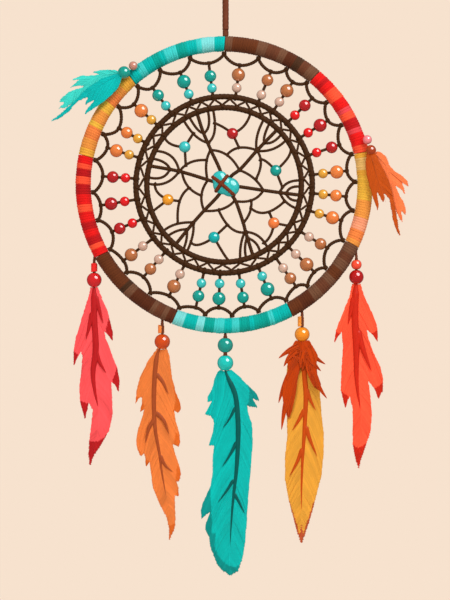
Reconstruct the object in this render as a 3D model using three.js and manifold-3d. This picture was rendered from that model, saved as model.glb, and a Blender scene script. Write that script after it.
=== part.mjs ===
// A hanging dream catcher: a yarn-wrapped hoop with a laced border, strings of beads, two inner
// rings with a woven web, five bead-and-feather drops below and two feather tufts on the rim.
// Millimetres, +Z up, front towards -Y. The origin is where a nail holds the hanging loop.
import * as THREE from 'three';
import { mergeVertices } from 'three/addons/utils/BufferGeometryUtils.js';
import Module from 'manifold-3d';

const wasm = await Module();
wasm.setup();

// ---- Driving dimensions
const HOOP_CENTRE_Z = -168;
const HOOP_RADIUS = 94.8;
const CORE_RADIUS = 3;
const WRAP_INNER_RADIUS = 3.8;
const WRAP_RADIUS = 5.2;
const OUTER_RING_RADIUS = 59.35;
const INNER_RING_RADIUS = 52;
const RING_THREAD_RADIUS = 2.05;
const LACE_RADIUS = 1.2;
const STRING_RADIUS = 0.85;
const SMALL_BEAD_RADIUS = 3.3;
const SPOKE_RADIUS = 1.05;
const WEB_RADIUS = 0.7;
const LASHING_RADIUS = 0.9;
const WEB_BEAD_RADIUS = 3.85;
const DROP_CORD_RADIUS = 1.1;
const BEAD_BORE_RADIUS = 1.55;
const QUILL_RADIUS = 1;
const HANGING_CORD_X = 1;
const HANGING_CORD_RADIUS = 2;
const GAP = 0.35;

// ---- Distances that follow from them
const RIM_RADIUS = HOOP_RADIUS + WRAP_RADIUS;
const CUSP_RADIUS = HOOP_RADIUS - WRAP_RADIUS - 0.8;
const STRING_START = OUTER_RING_RADIUS + RING_THREAD_RADIUS + GAP;
const WEB_EDGE = INNER_RING_RADIUS - RING_THREAD_RADIUS - 0.7;

// ---- Colours
const COLOURS = {
  brown: 0x66321c,
  red: 0xe51a18,
  orange: 0xeb9f3c,
  turquoise: 0x02b3ab,
  thread: 0x4a2c18,
  cord: 0x73412f,
};

const object = new THREE.Group();
const hoop = new THREE.Group();
hoop.position.z = HOOP_CENTRE_Z;
object.add(hoop);

// ---- Helpers. Points are given across (x), up (z) and, where it matters, back (y).
function point(x, z, y = 0) {
  return new THREE.Vector3(x, y, z);
}

// A point on a circle about the hoop's centre, its angle in degrees clockwise from the top.
function clock(degrees, radius, y = 0) {
  const angle = THREE.MathUtils.degToRad(degrees);
  return point(radius * Math.sin(angle), radius * Math.cos(angle), y);
}

function smooth(points) {
  return new THREE.CatmullRomCurve3(points, false, 'centripetal');
}

function polygon(radius, sides) {
  const corners = [];
  for (let i = 0; i < sides; i += 1) {
    const angle = (2 * Math.PI * i) / sides;
    corners.push(new THREE.Vector2(radius * Math.cos(angle), radius * Math.sin(angle)));
  }
  return corners;
}

function tube(points, radius, sides = 5, steps = 4) {
  const section = new THREE.Shape(polygon(radius, sides));
  return new THREE.ExtrudeGeometry(section, { steps, extrudePath: smooth(points), bevelEnabled: false });
}

// A closed ring of thread or cord about the hoop's centre.
function ring(radius, threadRadius, sides, segments) {
  return new THREE.TorusGeometry(radius, threadRadius, sides, segments).rotateX(Math.PI / 2);
}

// A solid of revolution about Z, its profile given as [radius, height] going up.
function turned(profile, sides) {
  const outline = profile.map(([radius, height]) => new THREE.Vector2(radius, height));
  return new THREE.LatheGeometry(outline, sides).rotateX(Math.PI / 2);
}

// A flat piece cut to an outline of [x, z] points, between two depths.
function sheet(outline, front, back) {
  const shape = new THREE.Shape(outline.map(([x, z]) => new THREE.Vector2(x, z)));
  const solid = new THREE.ExtrudeGeometry(shape, { depth: back - front, bevelEnabled: false });
  return solid.rotateX(Math.PI / 2).translate(0, back, 0);
}

function toSolid(geometry) {
  const bare = geometry.clone();
  bare.deleteAttribute('normal');
  bare.deleteAttribute('uv');
  const merged = mergeVertices(bare);
  return new wasm.Manifold(new wasm.Mesh({
    numProp: 3,
    vertProperties: merged.attributes.position.array,
    triVerts: merged.index.array,
  }));
}

function join(geometries) {
  let whole = toSolid(geometries[0]);
  for (const geometry of geometries.slice(1)) {
    whole = whole.add(toSolid(geometry));
  }
  const mesh = whole.getMesh();
  const joined = new THREE.BufferGeometry();
  joined.setAttribute('position', new THREE.BufferAttribute(mesh.vertProperties, 3));
  joined.setIndex(new THREE.BufferAttribute(mesh.triVerts, 1));
  joined.computeVertexNormals();
  return joined;
}

function add(name, geometry, color, roughness = 0.8, position = point(0, 0)) {
  const mesh = new THREE.Mesh(geometry, new THREE.MeshStandardMaterial({ color, roughness, metalness: 0 }));
  mesh.name = name;
  mesh.position.copy(position);
  hoop.add(mesh);
}

// The arc of a bead's outline between its two holes.
function beadArc(radius, holeRadius, centre, steps) {
  const reach = Math.acos(holeRadius / radius);
  const arc = [];
  for (let i = 0; i <= steps; i += 1) {
    const angle = reach * ((2 * i) / steps - 1);
    arc.push([radius * Math.cos(angle), centre + radius * Math.sin(angle)]);
  }
  return arc;
}

function boredBead(radius) {
  const arc = beadArc(radius, BEAD_BORE_RADIUS, 0, 5);
  return turned([...arc, arc[0]], 10);
}

// ---- The hanging cord, the loop with its knot, and the hitch that holds the hoop
function makeHanger() {
  const hitchTop = RIM_RADIUS + 4;
  const knotBottom = 126.7;
  const knotTop = 135.3;
  const strand = HANGING_CORD_RADIUS + GAP;
  const x = HANGING_CORD_X;

  const hitch = turned([
    [0, RIM_RADIUS + 0.45],
    [2.8, RIM_RADIUS + 0.45],
    [3, RIM_RADIUS + 2],
    [2.2, hitchTop],
    [0, hitchTop],
  ], 10);
  add('hoop_hitch', hitch, COLOURS.cord, 0.9, point(x, 0));

  const cordPoints = [point(x, hitchTop + GAP), point(x, (hitchTop + knotBottom) / 2), point(x, knotBottom - GAP)];
  add('hanging_cord', tube(cordPoints, HANGING_CORD_RADIUS, 8, 4), COLOURS.cord, 0.9);

  const knotProfile = [[0, knotBottom], [4, knotBottom], [5.2, 129.5], [5.2, 132.5], [4.3, knotTop], [0, knotTop]];
  const knot = turned(knotProfile, 12).translate(x, 0, 0);
  const loopPoints = [
    point(x - strand, knotTop - 1),
    point(x - 4, 141),
    point(x - 9, 151),
    point(x - 9, 162),
    point(x, -HOOP_CENTRE_Z + HANGING_CORD_RADIUS),
    point(x + 9, 162),
    point(x + 9, 151),
    point(x + 4, 141),
    point(x + strand, knotTop - 1),
  ];
  const loop = join([tube(loopPoints, HANGING_CORD_RADIUS, 8, 20), knot]);
  add('hanging_loop', loop, COLOURS.cord, 0.9);
}

// ---- The hoop: a round core, and nine lengths of yarn wound round it, each a shell over the core.
// Every wrap has a laced section inside it: scallops of thread, each with a string of two beads.
// A string is [angle, big bead distance, big bead radius, small bead distance, scallop distance].
const SECTIONS = [
  { place: 'top_right_brown', colour: 'brown', wrap: [0.3, 40], cusps: [0, 15.2, 28.3, 39], strings: [
    [7.4, 74.6, 4.5, 65.7, 81.1], [22.5, 76.2, 4, 65.5, 82.4], [33.7, 76.1, 4.5, 67, 83.1]] },
  { place: 'right_red', colour: 'red', wrap: [40, 77], cusps: [39, 51.2, 63, 76.5], strings: [
    [45.5, 76.1, 4, 66.8, 83.1], [58.2, 76, 4.5, 66.5, 82.1], [70.8, 76.6, 4, 65.9, 82.1]] },
  { place: 'right_orange', colour: 'orange', wrap: [77, 115], cusps: [76.5, 88.7, 101.3, 115], strings: [
    [83.5, 76.3, 4.5, 66.9, 83.1], [95.5, 75.6, 4, 66.9, 82.4], [106.9, 76.2, 4.5, 66.9, 82.4]] },
  { place: 'lower_right_brown', colour: 'brown', wrap: [115, 152.3], cusps: [115, 129.3, 140.5, 151.8], strings: [
    [121.5, 76.1, 4, 67, 81.4], [134, 77.2, 4.7, 67, 84.4], [144.7, 77.1, 4, 68.6, 83.8]] },
  { place: 'bottom_turquoise', colour: 'turquoise', wrap: [152.3, 200.5], cusps: [151.8, 164.8, 176.5, 188.3, 200],
    strings: [[157.4, 76, 4.7, 66.6, 82.8], [170.5, 76.8, 4, 67.3, 83.1], [182.6, 76.6, 4.5, 66.5, 82.8],
      [193, 76.8, 4, 67.9, 84.8]] },
  { place: 'lower_left_brown', colour: 'brown', wrap: [200.5, 240.2], cusps: [200, 214.2, 228, 240.5], strings: [
    [206.3, 76.2, 4.6, 67, 83.4], [221.2, 75.3, 4, 66.7, 82.4], [233, 78.3, 4.4, 68.5, 84.8]] },
  { place: 'left_red', colour: 'red', wrap: [240.2, 281.6], cusps: [240.5, 254.3, 266.7, 280.8], strings: [
    [247.3, 76.1, 4, 66.9, 81.8], [260.5, 77.1, 4.4, 67.8, 84.1], [274, 75.1, 4, 66.5, 81.8]] },
  { place: 'left_orange', colour: 'orange', wrap: [281.6, 318.8], cusps: [280.8, 292.7, 306.5, 318.7], strings: [
    [287.6, 76, 4.4, 67, 82.4], [298.2, 74.3, 4, 65.9, 80.4], [311.8, 74.8, 4.6, 65.6, 81.4]] },
  { place: 'top_left_turquoise', colour: 'turquoise', wrap: [318.8, 360.3], cusps: [318.7, 330.8, 345, 360],
    strings: [[323.6, 74.8, 4, 66.1, 81.1], [338.7, 74.5, 4.6, 65.5, 81.1], [352.8, 73.7, 4, 65.5, 82.4]] },
];

class RimArc extends THREE.Curve {
  constructor(start, end) {
    super();
    this.start = start;
    this.end = end;
  }

  getPoint(share) {
    return clock(THREE.MathUtils.lerp(this.start, this.end, share), HOOP_RADIUS);
  }
}

function wrap(start, end) {
  const halfGap = THREE.MathUtils.radToDeg(GAP / HOOP_RADIUS / 2);
  const extrudePath = new RimArc(start + halfGap, end - halfGap);
  const section = new THREE.Shape(polygon(WRAP_RADIUS, 8));
  section.holes.push(new THREE.Path(polygon(WRAP_INNER_RADIUS, 8).reverse()));
  return new THREE.ExtrudeGeometry(section, { steps: 5, extrudePath, bevelEnabled: false });
}

// One hanging curve of lace, a half ellipse from cusp to cusp that is lowest at its string.
function scallop(start, low, end, lowRadius) {
  const path = [];
  for (const share of [-1, -0.85, -0.5, 0, 0.5, 0.85, 1]) {
    const angle = share < 0 ? THREE.MathUtils.lerp(low, start, -share) : THREE.MathUtils.lerp(low, end, share);
    const rise = 1 - Math.sqrt(1 - share * share);
    path.push(clock(angle, lowRadius + (CUSP_RADIUS - lowRadius) * rise));
  }
  return tube(path, LACE_RADIUS, 5, 6);
}

function beadString([angle, bigAt, bigRadius, smallAt, scallopAt]) {
  const profile = [
    [0, STRING_START],
    [STRING_RADIUS, STRING_START],
    ...beadArc(SMALL_BEAD_RADIUS, STRING_RADIUS, smallAt, 3),
    ...beadArc(bigRadius, STRING_RADIUS, bigAt, 3),
    [STRING_RADIUS, scallopAt],
    [0, scallopAt],
  ];
  return turned(profile, 6).rotateY(THREE.MathUtils.degToRad(angle));
}

function lacing({ cusps, strings }) {
  const clearance = THREE.MathUtils.radToDeg((LACE_RADIUS + GAP / 2) / CUSP_RADIUS);
  const pieces = [];
  strings.forEach((string, i) => {
    const start = cusps[i] + (i === 0 ? clearance : 0);
    const end = cusps[i + 1] - (i === strings.length - 1 ? clearance : 0);
    pieces.push(scallop(start, string[0], end, string[4]));
    pieces.push(beadString(string));
  });
  return join(pieces);
}

function makeHoop() {
  add('hoop_core', ring(HOOP_RADIUS, CORE_RADIUS, 6, 40), 0xb58a5a);
  for (const section of SECTIONS) {
    add(`wrap_${section.place}`, wrap(...section.wrap), COLOURS[section.colour]);
    add(`lacing_${section.place}`, lacing(section), COLOURS.thread);
  }
}

// ---- The two inner rings and the zigzag thread that is laced over the front of both
const ZIGZAG_PEAKS = [4, 14.5, 23.5, 32, 41, 51, 60.5, 71, 80.5, 91, 103.5, 114, 123, 132, 141, 150, 162, 175,
  187, 197, 206.5, 216, 227, 236, 245.5, 256, 268, 282, 293.5, 304.5, 314, 326, 335.5, 344.5, 353.5];

function zigzag() {
  const halfWidth = 1.2;
  const depth = 2 * WEB_RADIUS;
  const outside = [];
  const inside = [];
  ZIGZAG_PEAKS.forEach((peak, i) => {
    const next = i + 1 < ZIGZAG_PEAKS.length ? ZIGZAG_PEAKS[i + 1] : ZIGZAG_PEAKS[0] + 360;
    for (const [angle, radius] of [[peak, OUTER_RING_RADIUS], [(peak + next) / 2, INNER_RING_RADIUS]]) {
      const far = clock(angle, radius + halfWidth);
      const near = clock(angle, radius - halfWidth);
      outside.push(new THREE.Vector2(far.x, far.z));
      inside.unshift(new THREE.Vector2(near.x, near.z));
    }
  });
  const shape = new THREE.Shape(outside);
  shape.holes.push(new THREE.Path(inside));
  const solid = new THREE.ExtrudeGeometry(shape, { depth, bevelEnabled: false });
  return solid.rotateX(Math.PI / 2).translate(0, -RING_THREAD_RADIUS - GAP, 0);
}

// ---- The web. A spoke runs out from the stone to the inner ring; arcs join spoke to spoke; two pairs
// of loops, an outer and an inner one, run from each spoke's outer part to the ring.
const SPOKES = [
  { path: [[-2.9, 10.3], [-8.9, 23.3], [-14.4, 36.3], [-17.3, 45.7]], loops: [
    [[-25.8, 41.2], [-19.3, 33], [-10.3, 28.1]], [[-7.1, 48.1], [-6.3, 37.1], [-9.9, 29]],
    [[-22.2, 43.2], [-17.7, 37.1], [-13.4, 35.1]], [[-10.3, 46.9], [-10.3, 40.4], [-13.6, 34.7]]] },
  { path: [[5.5, 6.5], [10.5, 10.2], [22.3, 23.3], [33.7, 35.1]], loops: [
    [[25.5, 42], [22.3, 33], [21.9, 23.3]], [[40.2, 29], [32.9, 24.1], [22.7, 22.8]],
    [[29.2, 39.6], [27.2, 33], [27.2, 28.1]], [[37.4, 33], [32.9, 29], [27.2, 28.1]]] },
  { path: [[11.1, -1.4], [26.4, -3.7], [37.8, -5.3], [50.8, -6.9]], loops: [
    [[50.8, 2.9], [42.7, 1.2], [37.8, -4.6]], [[48.4, -15.9], [41.9, -11.8], [37.8, -5.8]],
    [[50.8, -1.2], [45.1, -2], [41.9, -5.7]], [[50.4, -10.6], [45.1, -9.8], [41.9, -6.2]]] },
  { path: [[6.4, -8.7], [7.6, -10.6], [12.9, -25.7], [14.5, -31.8], [19.4, -47.7]], loops: [
    [[10.9, -50.5], [11.3, -40.3], [13.9, -32]], [[29.6, -42.8], [23.1, -34.6], [14.9, -31.8]],
    [[14.9, -49.7], [14.1, -42], [15.4, -35.5]], [[24.3, -45.6], [21.5, -39.5], [16.1, -35.9]]] },
  { path: [[-3.7, -7], [-13.6, -17.5], [-20.9, -25.7], [-31.5, -38.7]], loops: [
    [[-39.7, -30.2], [-32.3, -26.5], [-20.9, -25.3]], [[-24.2, -43.6], [-21.3, -34.6], [-20.7, -26.1]],
    [[-37.2, -33.8], [-31.5, -31], [-25, -30]], [[-27, -42.8], [-25.4, -37.1], [-25, -30.6]]] },
  { path: [[-9, 2.7], [-29.9, 9], [-47.8, 12.2]], loops: [
    [[-43.8, 21.6], [-35.6, 19.2], [-30.3, 9.4]], [[-49.5, 0.8], [-39.7, 1.2], [-30.7, 8.4]],
    [[-45.8, 16.7], [-40.5, 15.1], [-36.4, 10.5]], [[-49.5, 4.9], [-42.1, 4.9], [-36.8, 10]]] },
];
const ARCS = [
  [[-8.9, 23.3], [1.9, 20], [10.1, 10.2]],
  [[10.5, 9.8], [19.8, 4.5], [26.4, -3.7]],
  [[26.4, -3.7], [19, -10.2], [7.6, -11]],
  [[7.2, -10.6], [-1.4, -16.3], [-13.4, -17.5]],
  [[-13.4, -17.5], [-15.2, -6.9], [-11, 3]],
  [[-11.1, 2.9], [-12, 14.3], [-9.1, 23.3]],
  [[1.9, 20], [10.1, 24.9], [21.9, 23.3]],
  [[22.3, 22.8], [24.7, 14.3], [21.5, 4]],
  [[18.2, -10.4], [17.4, -18.3], [12.9, -25.7]],
  [[17.8, -15.5], [28, -18.7], [40.6, -11.2]],
  [[-3.8, -16.8], [4.3, -28.9], [14.1, -32]],
  [[-28.3, 8.6], [-24.2, -1.2], [-15.2, -7.3]],
  [[-23.4, -2], [-29.9, -11], [-31.1, -26]],
  [[-29.9, 9], [-22.6, 15.1], [-11.8, 16.6]],
];
// Each web bead is held by threads from the web, whose first point lies on it, and one from the ring.
const WEB_BEADS = [
  { name: 'dark_red', centre: [5.6, 34.5], colour: 0xbf181c, ring: [[17, 46.1], [13.3, 39.6]],
    web: [[[-6.6, 41.6], [-0.5, 38.7]], [[10.1, 24.9]]] },
  { name: 'light_turquoise', centre: [-26.5, 25.5], colour: 0x3cc8c6, ring: [[-38.1, 30.6], [-35.6, 27.3]],
    web: [[[-20.6, 34.8]], [[-25.8, 12.7]]] },
  { name: 'amber', centre: [-37.8, -10], colour: 0xfca322, ring: [[-47, -17.5]],
    web: [[[-46.5, 0.6], [-44.6, -5.3]], [[-29.9, -11]]] },
  { name: 'teal_blue', centre: [-6.8, -35.4], colour: 0x00b3b0, ring: [[4.3, -51.8], [1.1, -48.5]],
    web: [[[2.3, -26.8]], [[-22.3, -38.5], [-16.9, -40.3]]] },
  { name: 'orange', centre: [33.4, -25.7], colour: 0xfa813d, ring: [[43.5, -27.7]],
    web: [[[30.3, -18.3]], [[26.6, -39.4], [31.3, -33.8]]] },
  { name: 'dark_teal', centre: [34.8, 9.6], colour: 0x00a194, ring: [[43.5, 25.7], [43.5, 19.2]],
    web: [[[24.2, 16.8], [28, 15.9]], [[39.3, -1.9]]] },
];

// The lashing crosses over the front of the stone in two straps, each tied to two spokes.
const LASHINGS = [
  [[-10, 3, 0], [-8.8, 5.6, -2.6], [-4, 2.6, -5.3], [0.5, -1.2, -5.8], [5, -5, -5.8], [8.4, -8.4, -2.8], [7, -9.7, 0]],
  [[7, 7.6, 0], [5.2, 7.6, -2.8], [1.5, 4.5, -5.4], [-1.5, 1.2, -5.8], [-4, -2, -4.8], [-5.6, -5, -2.4], [-5, -8.4, 0]],
];

// The end of a thread that comes from the ring is cut short of it.
function trimmed(path) {
  return path.map(([x, z]) => {
    const end = point(x, z);
    return end.clampLength(0, WEB_EDGE);
  });
}

// The same path with its first point on the inner ring's centre line.
function fromRing([[x, z], ...rest]) {
  const reach = INNER_RING_RADIUS / Math.hypot(x, z);
  return [[x * reach, z * reach], ...rest];
}

// A thread that runs up to a bead and stops at its surface.
function strand(path, centre) {
  const points = path.map(([x, z]) => point(x, z));
  const middle = point(...centre);
  const along = points[points.length - 1].clone().sub(middle).setLength(WEB_BEAD_RADIUS + GAP);
  return tube([...points, middle.clone().add(along)], WEB_RADIUS, 4, 2 * path.length);
}

function makeWeb() {
  const pieces = [];
  for (const { path, loops } of SPOKES) {
    pieces.push(tube(trimmed(path), SPOKE_RADIUS, 5, path.length));
    for (const loop of loops) {
      pieces.push(tube(trimmed(loop), WEB_RADIUS, 4, 3));
    }
  }
  for (const arc of ARCS) {
    pieces.push(tube(trimmed(arc), WEB_RADIUS, 4, 4));
  }
  for (const path of LASHINGS) {
    pieces.push(tube(path.map((place) => point(...place)), LASHING_RADIUS, 5, 7));
  }
  const ringPieces = [ring(INNER_RING_RADIUS, RING_THREAD_RADIUS, 5, 40)];
  for (const bead of WEB_BEADS) {
    for (const path of bead.web) {
      pieces.push(strand(path, bead.centre));
    }
    ringPieces.push(strand(fromRing(bead.ring), bead.centre));
    const ball = new THREE.SphereGeometry(WEB_BEAD_RADIUS, 8, 6);
    add(`web_bead_${bead.name}`, ball, bead.colour, 0.3, point(...bead.centre));
  }
  add('web', join(pieces), COLOURS.thread);
  add('inner_ring', join(ringPieces), COLOURS.thread);
  add('outer_ring', ring(OUTER_RING_RADIUS, RING_THREAD_RADIUS, 5, 40), COLOURS.thread);
  add('ring_zigzag', zigzag(), COLOURS.thread);

  const flatness = 0.62;
  const upperLobe = new THREE.SphereGeometry(5.3, 12, 8).scale(1, flatness, 1).translate(-2.8, 0, 4.1);
  const lowerLobe = new THREE.SphereGeometry(6.4, 12, 8).scale(1, flatness, 1).translate(4, 0, -1.6);
  add('centre_stone', join([upperLobe, lowerLobe]), 0x36c5c2, 0.3);
}

// ---- The drops. Outlines are [x, z] from the hole under the lowest bead, going down the left side.
const LEFT_OUTER_FEATHER = [[-1.5, -0.8], [-3, -5], [-7.5, -18], [-12.5, -34.5], [-14, -43], [-14, -54],
  [-11.5, -47], [-9, -43], [-8, -47], [-9, -58.5], [-10, -67.5], [-9.5, -77], [-6, -90], [-5, -83],
  [-3.5, -77.5], [-1, -83], [-2, -92.5], [-3.5, -103.5], [-4, -113], [-3, -121], [-0.5, -114], [5, -105.5],
  [10, -96.5], [12.5, -85], [12, -74], [11.5, -63.5], [14, -65.5], [16.5, -71], [17, -62.5], [15, -53],
  [11, -43], [7.5, -34.5], [7, -30], [9, -31.5], [12.5, -36.5], [12.5, -30.5], [11, -24.5], [9, -16],
  [5, -7], [2, -0.8]];
const LEFT_INNER_FEATHER = [[-2, -0.8], [-10, -9], [-15, -18.5], [-17.5, -29], [-18, -37], [-16.5, -33.5],
  [-14, -32.5], [-13.5, -36], [-15, -42], [-12, -40.5], [-13.5, -46], [-16.5, -54.5], [-17.5, -61.5],
  [-17, -67], [-14.5, -72.5], [-12.5, -70], [-11.5, -73], [-11, -79.5], [-8.5, -75.5], [-7.5, -83.5],
  [-6.5, -92.5], [-2, -104], [3, -113.5], [4.5, -120.5], [4.5, -129.5], [8.5, -120.5], [9, -113.5],
  [8.5, -105.5], [8.5, -98.5], [11, -99], [11, -93.5], [9.5, -89], [11.5, -89], [12.5, -84.5], [12, -80],
  [9, -71.5], [7, -64], [11, -65.5], [12, -62.5], [11.5, -56.5], [9, -48.5], [8, -41.5], [11, -43],
  [12.5, -40.5], [12, -36], [9, -29], [6.5, -19.5], [5.5, -10.5], [3, -2], [1.5, -0.8]];
const MIDDLE_FEATHER = [[-1.5, -0.8], [-6, -4.5], [-9, -12], [-14.5, -22], [-9, -20.5], [-14, -29.5],
  [-10, -30.5], [-7.5, -34.5], [-8.5, -42.5], [-11, -50.5], [-7.5, -50.5], [-8.5, -59], [-8.5, -69],
  [-10, -78], [-15, -89], [-16.5, -94.5], [-16, -100], [-12.5, -96.5], [-10, -95.5], [-13, -102.5],
  [-13.5, -107], [-11, -112], [-10, -119], [-6, -129.5], [-1.5, -135], [3.5, -138], [8.5, -135],
  [11.5, -127], [13.5, -115], [14.5, -100.5], [15.5, -84.5], [17, -67], [18.5, -49], [18, -36.5],
  [15.5, -29], [15, -24], [22, -25], [18.5, -19], [23, -20.5], [20.5, -14.5], [14, -8.5], [8.5, -3],
  [2, -0.8]];
const RIGHT_INNER_FEATHER = [[-1.5, -0.8], [-7.5, -7.5], [-10, -16], [-11, -29.5], [-10.5, -39.5], [-10, -64],
  [-11.5, -77.5], [-11.5, -93], [-9, -106.5], [-6.5, -116.5], [-4, -126.5], [-0.5, -136.5], [3.5, -125.5],
  [7.5, -112], [9.5, -104], [13, -90.5], [14.5, -75], [14.5, -61.5], [13, -48.5], [12, -34.5], [9.5, -21],
  [6.5, -7.5], [2, -0.8]];
const DOWN_TUFT = [[-3, -1], [-9, -4], [-16, -11], [-8.5, -8], [-12.5, -16.5], [-9.5, -15], [-10.5, -20.5],
  [-14.5, -30.5], [-16, -41], [-11.5, -36.5], [-14, -48.5], [-14, -59], [-10.5, -54], [-7, -46],
  [-4.5, -35], [-2.5, -21.5], [-1, -16.5], [0, -21.5], [3, -14.5], [5, -25], [7.5, -30.5], [12, -34],
  [16.5, -38], [14, -29.5], [10, -21.5], [9.5, -16], [12, -19.5], [12, -13], [15.5, -15], [13, -8.5],
  [9, -5], [3.5, -1]];
const RIGHT_OUTER_FEATHER = [[-1.5, -0.8], [-4.5, -9], [-9, -19], [-13.5, -30.5], [-15, -40], [-12.5, -35.5],
  [-10, -32], [-9, -42], [-10, -58.5], [-10.5, -71.5], [-7.5, -83.5], [-6, -79], [-4.5, -75], [-2.5, -84],
  [-2.5, -108.5], [-1, -117], [1.5, -124.5], [3.5, -117], [6.5, -108.5], [9.5, -99.5], [10.5, -89],
  [9.5, -76], [8, -65], [12.5, -70.5], [15, -78], [18, -71.5], [18, -63.5], [16, -55], [11.5, -46],
  [8, -36.5], [7, -30.5], [11, -34], [14.5, -39], [14.5, -34.5], [14, -28.5], [10.5, -19], [5.5, -9],
  [2, -0.8]];

// Beads are [name, height of the centre, radius], from the top; a sleeve is [top, bottom].
const DROPS = [
  { place: 'left_outer', x: -87.4, sleeve: [-54.6, -58.4], beads: [['bead', -64, 5.05]],
    outline: LEFT_OUTER_FEATHER, colour: 0xfb5558, beadColours: [0xdb1b1f], sleeveColour: 0xe2231f },
  { place: 'left_inner', x: -41.6, sleeve: [-95, -99.9], beads: [['bead', -105.5, 5.2]],
    outline: LEFT_INNER_FEATHER, colour: 0xee8340, beadColours: [0xd84a04], sleeveColour: 0xf3843f },
  { place: 'middle', x: 0.8, beads: [['upper_bead', -107.9, 5.2], ['lower_bead', -119.8, 5.35]],
    outline: MIDDLE_FEATHER, colour: 0x00b4ac, beadColours: [0x119b8d, 0x12cabe] },
  { place: 'right_inner', x: 52.5, sleeve: [-89, -94.9], beads: [['bead', -100.6, 5.05]],
    outline: RIGHT_INNER_FEATHER, colour: 0xeca73c, beadColours: [0xfa9218], sleeveColour: 0xf0913c },
  { place: 'right_outer', x: 89, beads: [['small_bead', -53.7, 3.5], ['bead', -62, 4.9]],
    outline: RIGHT_OUTER_FEATHER, colour: 0xff5636, beadColours: [0xff5033, 0xb90908] },
];

// A feather's flat blade joined to its quill, whose top stands in the bead's hole.
function feather(outline) {
  const quill = turned([[0, -14], [QUILL_RADIUS, -13], [QUILL_RADIUS, 1.5], [0, 1.5]], 6);
  return join([sheet(outline, -0.8, 0.8), quill]);
}

function makeDrop({ place, x, sleeve, beads, outline, colour, beadColours, sleeveColour }) {
  const [, lastAt, lastRadius] = beads[beads.length - 1];
  const hole = lastAt - lastRadius;
  const swing = -Math.sqrt((RIM_RADIUS + 0.45 + DROP_CORD_RADIUS) ** 2 - x * x);
  const top = DROP_CORD_RADIUS;
  const foot = hole + 2.5 - swing;
  const cord = turned([[0, foot], [top, foot], [top, 0], [0.75 * top, 0.66 * top], [0, top]], 8);
  add(`${place}_cord`, cord, COLOURS.cord, 0.9, point(x, swing));
  if (sleeve) {
    const [upper, lower] = sleeve;
    const inner = DROP_CORD_RADIUS + GAP + 0.1;
    const outer = 2.4;
    const profile = [[inner, lower], [outer, lower], [outer, upper], [inner, upper], [inner, lower]];
    add(`${place}_sleeve`, turned(profile, 10), sleeveColour, 0.8, point(x, 0));
  }
  beads.forEach(([name, height, radius], i) => {
    add(`${place}_${name}`, boredBead(radius), beadColours[i], 0.25, point(x, height));
  });
  add(`${place}_feather`, feather(outline), colour, 0.8, point(x, hole));
}

function makeDrops() {
  DROPS.forEach(makeDrop);
  add('right_inner_down', sheet(DOWN_TUFT, -2.7, -1.35), 0xbf4203, 0.9, point(52.5, -105.65));
}

// ---- The two tufts on the rim. Each is tied in front of the hoop with a fixed bead, and a second bead
// holds two feathers. Outlines are [x, z] from that second bead's centre.
const LEFT_TUFT_FRONT = [[-4.4, -2.3], [-5.5, -1.8], [-14.5, -4], [-24, -10], [-32.5, -18.5], [-41.5, -27],
  [-49.5, -33], [-43, -31], [-36.5, -26], [-30.5, -19.5], [-27, -17.5], [-24, -17], [-26.5, -22.5],
  [-23, -20], [-19.5, -18.5], [-24, -23.5], [-26.5, -28.5], [-22, -25.5], [-14.5, -20.5], [-7.5, -14.5],
  [-3, -9], [-1.5, -5]];
const LEFT_TUFT_REAR = [[-5, 0], [-5.5, 1.5], [-14.5, 2], [-21.5, 0.5], [-16.5, -1], [-20.5, -2], [-29, -2],
  [-35.5, -5], [-30, -4.5], [-36, -10], [-30.5, -8.5], [-27, -9], [-37, -13], [-42, -17], [-43.5, -19.5],
  [-39.5, -19.5], [-46, -25.5], [-43, -24], [-39, -23.5], [-31.5, -18.5], [-23.5, -12], [-14, -6],
  [-5.5, -3]];
const RIGHT_TUFT_FRONT = [[-2, -4.3], [-3.5, -9], [-3, -16], [-1, -24], [1.5, -32.5], [3.5, -38], [4.5, -40.5],
  [5, -35.5], [4, -28], [6, -31], [8, -35.5], [9, -31], [9, -28.5], [12, -32.5], [13, -38.5],
  [14.5, -46], [17, -54], [20, -58.5], [18.5, -52], [17.5, -44.5], [15.5, -34.5], [13, -24], [10, -16],
  [6, -9], [2.5, -4.3]];
const RIGHT_TUFT_REAR = [[3.6, -2.8], [4.4, -1], [7.5, -1.5], [10.5, -4.5], [13, -10.5], [15.5, -13.5],
  [21, -17], [24.5, -20.5], [25.5, -25], [23.5, -23], [21, -21.5], [22.5, -26], [23, -30], [20.5, -26],
  [16, -23], [19, -29.5], [22.5, -35.5], [23.5, -39.5], [23.5, -43.5], [20.5, -40], [22, -49.5],
  [19.5, -46], [18, -43], [15, -35.5], [11, -25.5], [5.5, -13.5]];

const TUFTS = [
  { place: 'left_tuft', fixed: [-60.8, 79.1, -6.9], fixedRadius: 2.9, fixedColour: 0xce8b77,
    bead: [-66.8, 74.4, -8.6], beadRadius: 4.2, beadColour: 0x0aa08f, colour: 0x00b4ae,
    front: LEFT_TUFT_FRONT, rear: LEFT_TUFT_REAR },
  { place: 'right_tuft', fixed: [95.7, 29.6, -7.4], fixedRadius: 3.1, fixedColour: 0xf9878c,
    bead: [98, 22.5, -7.9], beadRadius: 3.6, beadColour: 0xb8430a, colour: 0xcf5a10,
    front: RIGHT_TUFT_FRONT, rear: RIGHT_TUFT_REAR },
];

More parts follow.
